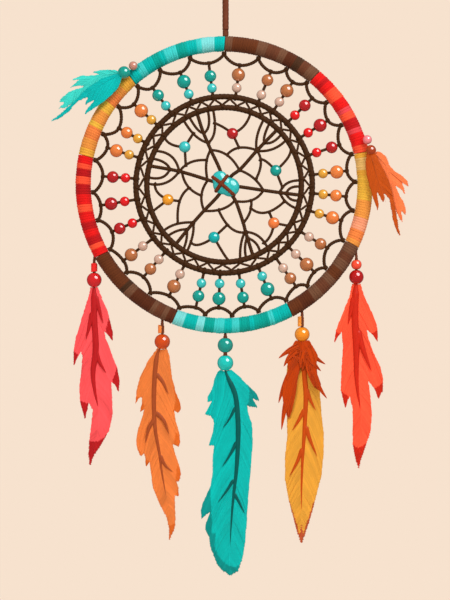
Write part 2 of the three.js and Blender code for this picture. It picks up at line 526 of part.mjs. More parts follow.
function makeTuft({ place, fixed, fixedRadius, fixedColour, bead, beadRadius, beadColour, colour, front, rear }) {
  const fixedBead = new THREE.SphereGeometry(fixedRadius, 8, 6);
  add(`${place}_small_bead`, fixedBead, fixedColour, 0.25, point(...fixed));
  add(`${place}_bead`, new THREE.SphereGeometry(beadRadius, 10, 8), beadColour, 0.25, point(...bead));
  const feathers = join([sheet(front, -1.5, -0.1), sheet(rear, -0.3, 0.9)]);
  add(`${place}_feathers`, feathers, colour, 0.8, point(...bead));
}

makeHanger();
makeHoop();
makeWeb();
makeDrops();
TUFTS.forEach(makeTuft);

export default object;
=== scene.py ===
"""The looks of a hanging dream catcher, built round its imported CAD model.

Sizes are in millimetres about the hoop's centre, x across and z up, and become metres in piece().
"""

import math

import bpy
import numpy as np
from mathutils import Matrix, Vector
from mathutils.bvhtree import BVHTree


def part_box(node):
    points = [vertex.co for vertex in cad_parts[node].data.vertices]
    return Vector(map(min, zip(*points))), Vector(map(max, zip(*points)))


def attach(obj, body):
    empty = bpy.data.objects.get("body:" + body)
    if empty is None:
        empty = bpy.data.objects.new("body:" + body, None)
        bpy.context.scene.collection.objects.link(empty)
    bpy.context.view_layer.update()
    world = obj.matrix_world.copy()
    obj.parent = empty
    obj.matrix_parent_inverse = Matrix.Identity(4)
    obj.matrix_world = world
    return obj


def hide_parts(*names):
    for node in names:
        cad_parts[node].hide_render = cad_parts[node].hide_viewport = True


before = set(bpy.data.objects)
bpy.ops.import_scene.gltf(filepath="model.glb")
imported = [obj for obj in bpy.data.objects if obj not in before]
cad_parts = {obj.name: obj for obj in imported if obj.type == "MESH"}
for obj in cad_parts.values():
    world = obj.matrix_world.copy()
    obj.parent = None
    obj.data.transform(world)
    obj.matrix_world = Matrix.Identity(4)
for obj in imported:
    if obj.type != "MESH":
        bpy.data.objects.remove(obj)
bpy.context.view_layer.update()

MM = 0.001
rng = np.random.default_rng(11)


def centre_of(node):
    low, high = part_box(node)
    return np.array((low + high) / 2)


HUB = centre_of("hoop_core")


def from_hub(node):
    """The place of a CAD node's centre."""
    return (centre_of(node) - HUB) / MM


def pairs(numbers):
    """A flat list cut into twos, such as the points of an outline."""
    return [list(pair) for pair in zip(numbers[::2], numbers[1::2])]


# ---- Sizes that the CAD model has too
HOOP_RADIUS = 94.8
WRAP_RADIUS = 5.2
CUSP_RADIUS = 88.8
OUTER_RING_RADIUS = 59.35
INNER_RING_RADIUS = 52
RING_THREAD_RADIUS = 2.05
LACE_RADIUS = 1.2
STRING_RADIUS = 1.05
SMALL_BEAD_RADIUS = 3.3
SPOKE_RADIUS = 1.3
WEB_RADIUS = 0.98
LASHING_RADIUS = 1.35
WEB_BEAD_RADIUS = 3.85
HANGING_CORD_RADIUS = 2
HANGING_CORD_X = 1
CORD_EXIT = 104.35
KNOT_HEIGHT = 131
LOOP_TOP = 168

# ---- The stage, in metres
CAMERA_PLACE = (0.0006, -1.1214, -0.2455)
FLOOR_HEIGHT = -0.62
HALF_FLOOR = 0.6
LIGHT_AIM = (0, 0, -0.22)


def metres(points):
    return (np.asarray(points) * MM + HUB).tolist()


def linked(name, data):
    """A new object in the scene."""
    made = bpy.data.objects.new(name, data)
    bpy.context.scene.collection.objects.link(made)
    return made


# ---- Camera, first of all
def make_camera():
    data = bpy.data.cameras.new("camera")
    data.lens = 100
    data.sensor_width = 36
    data.clip_end = 20
    camera = linked("camera", data)
    camera.location = CAMERA_PLACE
    camera.rotation_euler = (math.radians(90), 0, 0)
    bpy.context.scene.camera = camera


make_camera()


# ---- Colours and node helpers
def linear(colour):
    """A colour such as 0xE51A18 as linear red, green, blue and alpha."""
    parts = [((colour >> shift) & 255) / 255 for shift in (16, 8, 0)]
    return [p / 12.92 if p <= 0.04045 else ((p + 0.055) / 1.055) ** 2.4 for p in parts] + [1]


def new_material(name, roughness, **values):
    material = bpy.data.materials.new(name)
    material.use_nodes = True
    shader = material.node_tree.nodes["Principled BSDF"]
    shader.inputs["Roughness"].default_value = roughness
    for label, value in values.items():
        shader.inputs[label.replace("_", " ")].default_value = value
    return material, material.node_tree, shader


def node(tree, kind, links=None, **settings):
    made = tree.nodes.new(kind)
    for key, value in settings.items():
        setattr(made, key, value)
    for label, value in (links or {}).items():
        socket = made.inputs[label]
        if isinstance(value, bpy.types.NodeSocket):
            tree.links.new(value, socket)
        else:
            socket.default_value = value
    return made


def stretched(tree, scale):
    """The piece's own coordinates in millimetres, scaled evenly or along each axis."""
    place = node(tree, "ShaderNodeTexCoord").outputs["Object"]
    size = np.broadcast_to(1000.0 * np.array(scale), 3).tolist()
    return node(tree, "ShaderNodeMapping", {"Vector": place, "Scale": size}).outputs["Vector"]


def noise(tree, scale, detail=3, low=0.0, high=1.0):
    """Noise that runs from low to high, its grain one over scale in millimetres."""
    where = stretched(tree, scale)
    grain = node(tree, "ShaderNodeTexNoise", {"Vector": where, "Scale": 1, "Detail": detail})
    levels = {"Value": grain.outputs["Fac"], "From Min": 0.3, "From Max": 0.7, "To Min": low, "To Max": high}
    return node(tree, "ShaderNodeMapRange", levels).outputs["Result"]


def multiplied(tree, colour, factor):
    """The colour made lighter or darker by a number."""
    return node(tree, "ShaderNodeVectorMath", {0: colour, 1: factor}, operation="MULTIPLY").outputs[0]


def mixed(tree, first, second, factor):
    mix = node(tree, "ShaderNodeMix", data_type="RGBA")
    for index, value in ((0, factor), (6, first), (7, second)):
        if isinstance(value, bpy.types.NodeSocket):
            tree.links.new(value, mix.inputs[index])
        else:
            mix.inputs[index].default_value = value
    return mix.outputs[2]


def raised(tree, shader, height, distance, strength=0.6):
    """Bumps the surface by height, at most distance millimetres."""
    links = {"Height": height, "Distance": distance * MM, "Strength": strength}
    tree.links.new(node(tree, "ShaderNodeBump", links).outputs["Normal"], shader.inputs["Normal"])


def tint(tree):
    return node(tree, "ShaderNodeAttribute", attribute_name="tint").outputs["Color"]


def feed(shader, **sockets):
    for label, socket in sockets.items():
        shader.id_data.links.new(socket, shader.inputs[label.replace("_", " ")])


# ---- Materials
def yarn_material():
    """Soft wool yarn: its turns are modelled, and its fibres run across the hoop's section."""
    material, tree, shader = new_material("yarn", 0.9, Specular_IOR_Level=0.12, Sheen_Weight=0.04)
    fibres = noise(tree, 3.4, 4, 0.86, 1.1)
    feed(shader, Base_Color=multiplied(tree, tint(tree), fibres))
    raised(tree, shader, noise(tree, 5, 3), 0.25)
    return material


def thread_material(name, colour, wax=0.55):
    """Twisted thread with a little wax on it, worn lighter in places."""
    material, tree, shader = new_material(name, wax, Specular_IOR_Level=0.16)
    base = linear(colour)
    worn = mixed(tree, base, [min(1, 1.35 * c) for c in base], noise(tree, 0.5, 2))
    fibres = noise(tree, 4, 3, 0.8, 1.1)
    feed(shader, Base_Color=multiplied(tree, worn, fibres),
         Roughness=noise(tree, 2, 2, wax - 0.1, wax + 0.2))
    raised(tree, shader, noise(tree, 6, 3), 0.12)
    return material


def bead_material(name, colour):
    """A glazed bead: a deep even colour with faint swirls under a thick clear glaze."""
    material, tree, shader = new_material(name, 0.1, IOR=1.3, Coat_Weight=1, Coat_Roughness=0.03, Coat_IOR=2.2)
    base = linear(colour)
    swirl = mixed(tree, [0.88 * c for c in base[:3]] + [1], base, noise(tree, (0.35, 0.35, 0.9), 3))
    feed(shader, Base_Color=swirl, Roughness=noise(tree, 1.5, 2, 0.08, 0.16))
    raised(tree, shader, noise(tree, 0.4, 2), 0.02, 0.15)
    return material


def feather_material():
    """Dyed feather barbs, each with its own tone, with a soft silky shine."""
    material, tree, shader = new_material("feather", 0.62, Specular_IOR_Level=0.14, Sheen_Weight=0.04)
    dye = noise(tree, (0.12, 0.12, 0.06), 3, 0.93, 1.06)
    feed(shader, Base_Color=multiplied(tree, tint(tree), dye),
         Roughness=noise(tree, 1.2, 2, 0.52, 0.72))
    raised(tree, shader, noise(tree, (4, 4, 2), 3), 0.1)
    return material


def quill_material(name, colour):
    """The smooth horn of a feather's shaft, with painted shade in the furrows along it."""
    material, tree, shader = new_material(name, 0.42, Specular_IOR_Level=0.25)
    grooves_and_painted_shade = noise(tree, (3, 3, 0.25), 3, 0.78, 1.08)
    horn = node(tree, "ShaderNodeRGB")
    horn.outputs[0].default_value = linear(colour)
    # Painted shade: the noise that sinks the furrows also darkens the colour there.
    feed(shader, Base_Color=multiplied(tree, horn.outputs[0], grooves_and_painted_shade))
    raised(tree, shader, grooves_and_painted_shade, 0.1)
    return material


def stone_material():
    """A polished turquoise nugget: cloudy blue-green with fine brown veins."""
    material, tree, shader = new_material("turquoise_stone", 0.16, IOR=1.35, Coat_Weight=1, Coat_Roughness=0.04,
                                          Coat_IOR=1.75)
    clouds = mixed(tree, linear(0x1FAEAC), linear(0x3AC4BF), noise(tree, 0.25, 3))
    warp = noise(tree, 0.3, 2, -0.6, 0.6)
    where = node(tree, "ShaderNodeVectorMath", {0: stretched(tree, 0.22), 1: warp}, operation="ADD")
    cells = node(tree, "ShaderNodeTexVoronoi", {"Vector": where.outputs[0], "Scale": 1}, feature="DISTANCE_TO_EDGE")
    vein = {"Value": cells.outputs["Distance"], "From Min": 0.0, "From Max": 0.035, "To Min": 0.55, "To Max": 0.0}
    veins = node(tree, "ShaderNodeMapRange", vein).outputs["Result"]
    feed(shader, Base_Color=mixed(tree, clouds, linear(0x2A7F7C), veins))
    raised(tree, shader, noise(tree, 0.5, 2), 0.15, 0.4)
    return material


def cane_material():
    """Peeled cane, its grain running along the bend."""
    material, tree, shader = new_material("cane", 0.6)
    grain = noise(tree, (1.2, 6, 1.2), 4)
    feed(shader, Base_Color=mixed(tree, linear(0x9C7243), linear(0xC79C66), grain))
    raised(tree, shader, grain, 0.2)
    return material


def floor_material():
    material, tree, shader = new_material("floor", 0.9)
    clouds = noise(tree, 0.004, 3)
    feed(shader, Base_Color=mixed(tree, linear(0xF3E4D6), linear(0xEFDFD0), clouds))
    return material


YARN = yarn_material()
FEATHER = feather_material()
THREAD = thread_material("brown_thread", 0x3D220C)
CORD = thread_material("hide_cord", 0x673420, 0.7)
LASHING = thread_material("lashing_thread", 0x6E3018)


# ---- Shapes: points, four-sided faces and three-sided faces
def shape_of(points, quads, tris=()):
    return (
        np.asarray(points, float).reshape(-1, 3),
        np.asarray(quads, int).reshape(-1, 4),
        np.asarray(tris, int).reshape(-1, 3),
    )


def joined(shapes):
    points, quads, tris, start = [], [], [], 0
    for p, q, t in shapes:
        points.append(p)
        quads.append(q + start)
        tris.append(t + start)
        start += len(p)
    return np.vstack(points), np.vstack(quads), np.vstack(tris)


def piece(name, shape, material, body, replaces=(), tints=None):
    """Makes one object from a shape, and lets it move with a CAD body."""
    points, quads, tris = shape
    mesh = bpy.data.meshes.new(name)
    mesh.from_pydata(metres(points), [], quads.tolist() + tris.tolist())
    mesh.shade_smooth()
    mesh.materials.append(material)
    if tints is not None:
        colours = mesh.color_attributes.new("tint", "FLOAT_COLOR", "POINT")
        colours.data.foreach_set("color", np.asarray(tints, np.float32).ravel())
    made = linked(name, mesh)
    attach(made, body)
    if replaces:
        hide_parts(*replaces)
    return made


def clock(degrees, radius, y=0.0):
    """A point on a circle about the hoop's centre, its angle in degrees clockwise from the top."""
    angle = math.radians(degrees)
    return [radius * math.sin(angle), y, radius * math.cos(angle)]


def upright(points):
    """Points given as across and up, as x, y and z."""
    return [[p[0], p[2] if len(p) > 2 else 0, p[1]] for p in points]


def distances(line):
    """How far along a line each of its points is."""
    return np.concatenate([[0], np.cumsum(np.linalg.norm(np.diff(line, axis=0), axis=1))])


def resampled(line, step):
    along = distances(line)
    steps = np.linspace(0, along[-1], max(2, round(along[-1] / step)) + 1)
    return np.stack([np.interp(steps, along, line[:, i]) for i in range(line.shape[1])], 1)


def curve(points, step=0.5):
    """A smooth line through the points, with a point at every step."""
    p = np.asarray(points, float)
    control = np.vstack([2 * p[0] - p[1], p, 2 * p[-1] - p[-2]])
    line = []
    for knots in zip(control, control[1:], control[2:], control[3:]):
        spans = [np.linalg.norm(b - a) ** 0.5 for a, b in zip(knots, knots[1:])]
        at = np.concatenate([[0.0], np.cumsum(spans)])
        t = np.linspace(at[1], at[2], 14, endpoint=False)[:, None]

        def blend(first, second, i, j):
            return (at[j] - t) / (at[j] - at[i]) * first + (t - at[i]) / (at[j] - at[i]) * second

        low = [blend(knots[i], knots[i + 1], i, i + 1) for i in range(3)]
        line.append(blend(blend(low[0], low[1], 0, 2), blend(low[1], low[2], 1, 3), 1, 2))
    return resampled(np.vstack([*line, p[-1:]]), step)


def circle(radius, step):
    count = round(2 * math.pi * radius / step)
    return np.array([clock(360 * i / count, radius) for i in range(count)])


def frames(line, closed):
    """Unit vectors to the line's two sides, without needless twist."""
    along = np.roll(line, -1, 0) - np.roll(line, 1, 0) if closed else np.gradient(line, axis=0)
    along /= np.linalg.norm(along, axis=1)[:, None]
    first = np.cross(along[0], (0, 1, 0))
    if np.linalg.norm(first) < 0.3:
        first = np.cross(along[0], (1, 0, 0))
    sides = [first / np.linalg.norm(first)]
    for direction in along[1:]:
        turned_side = sides[-1] - direction * sides[-1].dot(direction)
        sides.append(turned_side / np.linalg.norm(turned_side))
    return np.array(sides), np.cross(along, sides)


def grid_faces(rows, columns, closed_rows, closed_columns):
    i = np.arange(rows if closed_rows else rows - 1)[:, None]
    j = np.arange(columns if closed_columns else columns - 1)[None, :]
    up, right = (i + 1) % rows, (j + 1) % columns
    corners = [i * columns + j, i * columns + right, up * columns + right, up * columns + j]
    return np.stack([np.broadcast_to(c, (len(i), j.shape[1])) for c in corners], -1).reshape(-1, 4)


def thread(line, radius, sides=10, plies=2, lay=3.0, depth=0.2, closed=False, flat=1.0):
    """A twisted thread along a line. Its plies go once round each other in every lay millimetres."""
    line = np.asarray(line, float)
    across, over = frames(line, closed)
    along = distances(line)
    if closed:
        whole = along[-1] + np.linalg.norm(line[0] - line[-1])
        lay = whole / max(1, round(whole / lay))
    angle = np.linspace(0, 2 * math.pi, sides, endpoint=False)[None, :]
    ply = np.abs(np.cos(plies / 2 * (angle - 2 * math.pi * along[:, None] / lay)))
    size = np.broadcast_to(np.asarray(radius, float), (len(line),))[:, None] * (1 - depth + depth * ply)
    ring = across[:, None] * (size * np.cos(angle))[..., None]
    ring = ring + over[:, None] * (flat * size * np.sin(angle))[..., None]
    points = (line[:, None] + ring).reshape(-1, 3)
    quads = grid_faces(len(line), sides, closed, True)
    if closed:
        return shape_of(points, quads)
    count = len(points)
    points = np.vstack([points, line[0], line[-1]])
    last = (len(line) - 1) * sides
    tris = [[count, (k + 1) % sides, k] for k in range(sides)]
    tris += [[count + 1, last + k, last + (k + 1) % sides] for k in range(sides)]
    return shape_of(points, quads, tris)


def axes_of(axis):
    """A unit vector along the axis, and two across it."""
    axis = np.asarray(axis, float) / np.linalg.norm(axis)
    across = np.cross(axis, (0, 1, 0))
    if np.linalg.norm(across) < 0.3:
        across = np.cross(axis, (1, 0, 0))
    across /= np.linalg.norm(across)
    return axis, across, np.cross(axis, across)


def coil(centre, axis, radius, height, turns, thread_radius):
    """Thread wound round an axis."""
    axis, across, over = axes_of(axis)
    count = max(8, round(2 * math.pi * radius * turns / 0.5))
    share = np.linspace(0, 1, count)[:, None]
    angle = 2 * math.pi * turns * share
    line = np.asarray(centre, float) + axis * height * (share - 0.5)
    line = line + radius * (across * np.cos(angle) + over * np.sin(angle))
    return thread(line, thread_radius, sides=8, lay=2.0)


def bead(centre, radius, axis, bore=1.3, sides=24):
    """A bored bead with worn lips round its hole, a little out of true."""
    axis, across, over = axes_of(axis)
    reach = math.acos(bore / radius)
    profile = [[radius * math.cos(a), radius * math.sin(a)] for a in np.linspace(-0.97 * reach, 0.97 * reach, 15)]
    top = radius * math.sin(reach)
    lips = ((1.05, 0.97), (0.92, 0.9), (0.9, 0.5), (0.9, -0.5), (0.92, -0.9), (1.05, -0.97))
    profile += [[bore * s, top * h] for s, h in lips]
    angle = np.linspace(0, 2 * math.pi, sides, endpoint=False)
    out_of_true = 1 + 0.012 * np.cos(2 * angle + rng.uniform(0, 6))
    r, h = np.array(profile).T
    turned_out = across * np.cos(angle)[:, None] + over * np.sin(angle)[:, None]
    points = np.asarray(centre, float) + (turned_out * out_of_true[:, None])[:, None] * r[None, :, None]
    points = points + axis * h[None, :, None]
    return shape_of(points, grid_faces(sides, len(profile), True, True))


# ---- The hanging cord with its loop, the knot, and the hitch on the hoop
def hanging_line():
    x, strand = HANGING_CORD_X, HANGING_CORD_RADIUS + 0.35
    route = [
        (x, CORD_EXIT), (x, 112), (x, 120), (x - 0.2, 126), (x - 1.2, 130.5), (x - strand, 135),
        (x - 4, 141), (x - 9, 151), (x - 9, 162), (x, LOOP_TOP + HANGING_CORD_RADIUS),
        (x + 9, 162), (x + 9, 151), (x + 4, 141), (x + strand, 133.8),
    ]
    return curve(upright(route), 0.7)


def make_hanger():
    x = HANGING_CORD_X
    line = hanging_line()
    rope = thread(line, HANGING_CORD_RADIUS * 1.1, 15, 3, 9, 0.1)
    rope = piece("hanging_rope", rope, CORD, "hanger", ["hanging_cord", "hanging_loop"])
    turns = [coil((x, 0, KNOT_HEIGHT), (0, 0, 1), 4, 6.4, 4, 1.25)]
    for side in (-1, 1):
        across = [(x - 3, KNOT_HEIGHT + 3.5 * side, 3.4 * side), (x + 0.5 * side, KNOT_HEIGHT, 4.9 * side),
                  (x + 3, KNOT_HEIGHT - 3.5 * side, 3.4 * side)]
        turns.append(thread(curve(upright(across)), 1.3))
    knot = piece("loop_knot", joined(turns), CORD, "hanger")
    hitch = [coil((x, 0, 101.9), (0, 0, 1), 1.45, 3, 4.2, 0.65)]
    hitch.append(thread(curve(upright([(x, 99.4), (x, 104.3)])), 1.85))
    piece("rim_hitch", joined(hitch), CORD, "hitch", ["hoop_hitch"])


make_hanger()


# ---- The hoop's wraps, its turns of yarn in bands of their own shades
SHADES = {
    "brown": {"plain": 0x653319, "light": 0x714A34, "ruddy": 0x683A25, "dark": 0x592B17, "darkest": 0x482D1B},
    "red": {"plain": 0xE51A18, "deep": 0xBC1719, "orange": 0xFD5233, "pink": 0xE6454A},
    "orange": {"amber": 0xEBA83B, "pale": 0xEBB96A, "golden": 0xEDB33E, "plain": 0xEC9440, "pink": 0xF29870,
        "hot": 0xF0823F},
    "turquoise": {"plain": 0x02B3AB, "light": 0x3DC8C2, "deep": 0x03A092, "pale": 0x7AD5D2},
}
WRAPS_START = 0.3
# Each wrap is [place, then the end angle and shade of each band]. It starts where the last one ends.
WRAPS = [
    ["top_right_brown", 3.5, "light", 14, "plain", 18, "light", 22.5, "ruddy", 26, "light", 30, "dark", 33, "darkest",
     36, "ruddy", 40, "light"],
    ["right_red", 43.3, "plain", 45.5, "deep", 48, "plain", 53, "orange", 57, "plain", 60, "pink", 62.5, "orange", 67,
     "deep", 68.5, "pink", 73.5, "plain", 77, "orange"],
    ["right_orange", 79, "amber", 84, "pale", 86, "amber", 96.5, "golden", 104, "plain", 108.5, "pink", 112.5, "hot",
     115, "plain"],
    ["lower_right_brown", 119, "light", 122.5, "ruddy", 126, "light", 130.5, "plain", 134, "light", 138, "ruddy",
     141.5, "light", 147, "dark", 152.3, "plain"],
    ["bottom_turquoise", 160, "plain", 162, "light", 168, "deep", 170, "plain", 173.5, "deep", 177, "light", 180,
     "plain", 184, "light", 188.5, "deep", 191, "pale", 196, "plain", 200.5, "pale"],
    ["lower_left_brown", 204, "dark", 206, "light", 209, "ruddy", 211, "light", 220, "dark", 223, "light", 225,
     "darkest", 240.2, "plain"],
    ["left_red", 243.5, "plain", 245, "orange", 248.5, "deep", 251.5, "plain", 255, "deep", 259, "plain", 262,
     "orange", 266, "plain", 270, "deep", 273, "orange", 276.5, "deep", 278, "orange", 281.6, "plain"],
    ["left_orange", 284.5, "amber", 289, "plain", 294, "hot", 296.5, "golden", 301, "plain", 305, "golden", 310,
     "hot", 314, "plain", 318.8, "amber"],
    ["top_left_turquoise", 322.5, "plain", 326, "light", 330, "plain", 333.5, "deep", 335, "plain", 340.5, "light",
     344.5, "deep", 349, "plain", 350.5, "light", 356, "pale", 360.3, "plain"],
]
YARN_PITCH = 1.7
CREASE_RADIUS = 4.93
RIDGE_HEIGHT = 0.31
WRAP_END_RADIUS = 4.3


def wrap_shape(start, bands):
    """Turns of yarn wound side by side: one helical skin with a ridge for each turn, and its colours with painted
    shade in the hollows between turns.
    """
    half_gap = math.degrees(0.08 / HOOP_RADIUS)
    first, last = start + half_gap, bands[-1][0] - half_gap
    turns = round(math.radians(last - first) * HOOP_RADIUS / YARN_PITCH)
    steps, columns = 7, 30
    rows = turns * steps + 1
    row = np.arange(rows)
    share = (row % steps) / steps
    ridge = np.sqrt(1 - (2 * share - 1) ** 2)
    radius = CREASE_RADIUS + RIDGE_HEIGHT * ridge
    radius[[0, -1]] = WRAP_END_RADIUS
    turn = np.minimum(row // steps, turns - 1)
    around = np.arange(columns) / columns
    place = (row[:, None] / steps + around[None, :] - 0.5) / turns
    angle = np.radians(first + (last - first) * place)
    slack = 1 + 0.012 * rng.standard_normal(turns)[turn]
    section = 2 * math.pi * around[None, :]
    out = HOOP_RADIUS + (radius * slack)[:, None] * np.cos(section + math.pi / 2)
    back = (radius * slack)[:, None] * np.sin(section + math.pi / 2)
    points = np.stack([out * np.sin(angle), back, out * np.cos(angle)], -1)
    faces = grid_faces(rows, columns, False, False)
    seam_row = np.arange(rows - 1 - steps)
    edge = columns - 1
    seam = [seam_row * columns + edge, (seam_row + steps) * columns,
            (seam_row + steps + 1) * columns, (seam_row + 1) * columns + edge]
    faces = np.vstack([faces, np.stack(seam, -1)])
    middles = first + (last - first) * (np.arange(turns) + 0.5) / turns
    shades = [next(shade for end, shade in bands if middle <= end) for middle in middles]
    tones = 1 + 0.03 * rng.standard_normal(turns)
    colours = np.array([linear(shade) for shade in shades])
    colours[:, :3] *= tones[:, None]
    # Painted shade: each turn's colour is darkened towards the hollows between turns.
    painted_crease_shade = 0.95 + 0.05 * ridge
    tints = colours[turn] * np.stack([painted_crease_shade, painted_crease_shade, painted_crease_shade, np.ones(rows)], -1)
    return shape_of(points, faces), np.repeat(tints, columns, 0)


def make_hoop():
    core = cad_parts["hoop_core"]
    core.data.materials.clear()
    core.data.materials.append(cane_material())
    start = WRAPS_START
    for place, *bands in WRAPS:
        kind = place.split("_")[-1]
        shape, tints = wrap_shape(start, [(end, SHADES[kind][shade]) for end, shade in pairs(bands)])
        piece(f"yarn_{place}", shape, YARN, "hoop", [f"wrap_{place}"], tints)
        start = bands[-2]


make_hoop()


# ---- The border: scallops of thread, each with a string of two beads
# A string is [angle, big bead distance, big bead radius, small bead distance, scallop distance].
BORDER = [
    ["top_right_brown", [0, 15.2, 28.3, 39], [[7.4, 74.6, 4.5, 65.7, 81.1], [22.5, 76.2, 4, 65.5, 82.4], [33.7, 76.1,
     4.5, 67, 83.1]]],
    ["right_red", [39, 51.2, 63, 76.5], [[45.5, 76.1, 4, 66.8, 83.1], [58.2, 76, 4.5, 66.5, 82.1], [70.8, 76.6, 4,
     65.9, 82.1]]],
    ["right_orange", [76.5, 88.7, 101.3, 115], [[83.5, 76.3, 4.5, 66.9, 83.1], [95.5, 75.6, 4, 66.9, 82.4], [106.9,
     76.2, 4.5, 66.9, 82.4]]],
    ["lower_right_brown", [115, 129.3, 140.5, 151.8], [[121.5, 76.1, 4, 67, 81.4], [134, 77.2, 4.7, 67, 84.4], [144.7,
     77.1, 4, 68.6, 83.8]]],
    ["bottom_turquoise", [151.8, 164.8, 176.5, 188.3, 200], [[157.4, 76, 4.7, 66.6, 82.8], [170.5, 76.8, 4, 67.3,
     83.1], [182.6, 76.6, 4.5, 66.5, 82.8], [193, 76.8, 4, 67.9, 84.8]]],
    ["lower_left_brown", [200, 214.2, 228, 240.5], [[206.3, 76.2, 4.6, 67, 83.4], [221.2, 75.3, 4, 66.7, 82.4], [233,
     78.3, 4.4, 68.5, 84.8]]],
    ["left_red", [240.5, 254.3, 266.7, 280.8], [[247.3, 76.1, 4, 66.9, 81.8], [260.5, 77.1, 4.4, 67.8, 84.1], [274,
     75.1, 4, 66.5, 81.8]]],
    ["left_orange", [280.8, 292.7, 306.5, 318.7], [[287.6, 76, 4.4, 67, 82.4], [298.2, 74.3, 4, 65.9, 80.4], [311.8,
     74.8, 4.6, 65.6, 81.4]]],
    ["top_left_turquoise", [318.7, 330.8, 345, 360], [[323.6, 74.8, 4, 66.1, 81.1], [338.7, 74.5, 4.6, 65.5, 81.1],
     [352.8, 73.7, 4, 65.5, 82.4]]],
]
STRING_COLOURS = {
    "brown": (0xBE7140, 0xD9B09A), "red": (0xBB171B, 0xEC1015),
    "orange": (0xF0823C, 0xE9A638), "turquoise": (0x04A092, 0x3CC8C4),
}


def scallop(start, low, end, low_radius):
    share = -np.cos(np.linspace(0, math.pi, 41))
    angle = np.where(share < 0, low + (start - low) * -share, low + (end - low) * share)
    sag = 0.6 * (1 - np.sqrt(np.maximum(0, 1 - share**2))) + 0.4 * share**2
    radius = low_radius + (CUSP_RADIUS - low_radius) * sag
    line = np.array([clock(a, r) for a, r in zip(angle, radius)])
    return thread(resampled(line, 0.5), LACE_RADIUS, lay=3.4)


def make_border():
    big = {k: bead_material(f"{k}_big_bead", c[0]) for k, c in STRING_COLOURS.items()}
    small = {k: bead_material(f"{k}_small_bead", c[1]) for k, c in STRING_COLOURS.items()}
    for place, cusps, strings in BORDER:
        kind = place.split("_")[-1]
        threads, big_beads, small_beads = [], [], []
        for i, (angle, big_at, big_radius, small_at, low) in enumerate(strings):
            threads.append(scallop(cusps[i], angle, cusps[i + 1], low))
            ends = [clock(angle, OUTER_RING_RADIUS + 1.6), clock(angle, low)]
            threads.append(thread(resampled(np.array(ends), 0.5), STRING_RADIUS))
            threads.append(coil(clock(angle, low), clock(angle + 90, 1), 1.05, 1.4, 2.5, 0.5))
            threads.append(coil(clock(angle, OUTER_RING_RADIUS), clock(angle + 90, 1), 2.0, 1.6, 2, 0.5))
            threads.append(coil(clock(cusps[i], CUSP_RADIUS - 0.4), clock(cusps[i], 1), 1.2, 1.5, 2.5, 0.55))
            big_beads.append(bead(clock(angle, big_at), big_radius, clock(angle, 1), 1.15))
            small_beads.append(bead(clock(angle, small_at), SMALL_BEAD_RADIUS, clock(angle, 1), 1.1))
        piece(f"lace_{place}", joined(threads), THREAD, "hoop", [f"lacing_{place}"])
        piece(f"big_beads_{place}", joined(big_beads), big[kind], "hoop")
        piece(f"small_beads_{place}", joined(small_beads), small[kind], "hoop")


make_border()

# ---- The two rings, and the thread that is laced round both in a zigzag
ZIGZAG_PEAKS = [4, 14.5, 23.5, 32, 41, 51, 60.5, 71, 80.5, 91, 103.5, 114, 123, 132, 141, 150, 162, 175, 187, 197,
    206.5, 216, 227, 236, 245.5, 256, 268, 282, 293.5, 304.5, 314, 326, 335.5, 344.5, 353.5]


def stitch(angle, radius, outward):
    """Points of a thread that is stitched through the front of a ring and turns back."""
    side = 1 if outward else -1
    lean = math.degrees(0.5 / radius)
    turn = [(-1, -1.9, -0.9), (0, 0.2, -2.0), (1, -1.9, -0.9)]
    return [clock(angle + lean * along, radius + side * over, depth) for along, over, depth in turn]


def make_rings():
    outer = thread(circle(OUTER_RING_RADIUS, 0.7), 0.98 * RING_THREAD_RADIUS, 15, 3, 8, 0.13, closed=True)
    piece("outer_ring_cord", outer, THREAD, "hoop", ["outer_ring"])
    inner = thread(circle(INNER_RING_RADIUS, 0.7), 0.98 * RING_THREAD_RADIUS, 15, 3, 8, 0.13, closed=True)
    points = []
    for here, after in zip(ZIGZAG_PEAKS, ZIGZAG_PEAKS[1:] + [ZIGZAG_PEAKS[0] + 360]):
        points += stitch(here, OUTER_RING_RADIUS, True)
        points += stitch((here + after) / 2, INNER_RING_RADIUS, False)
    points.append(points[0])
    piece("zigzag_thread", thread(curve(points, 0.6), 0.84), THREAD, "hoop", ["ring_zigzag"])
    return inner


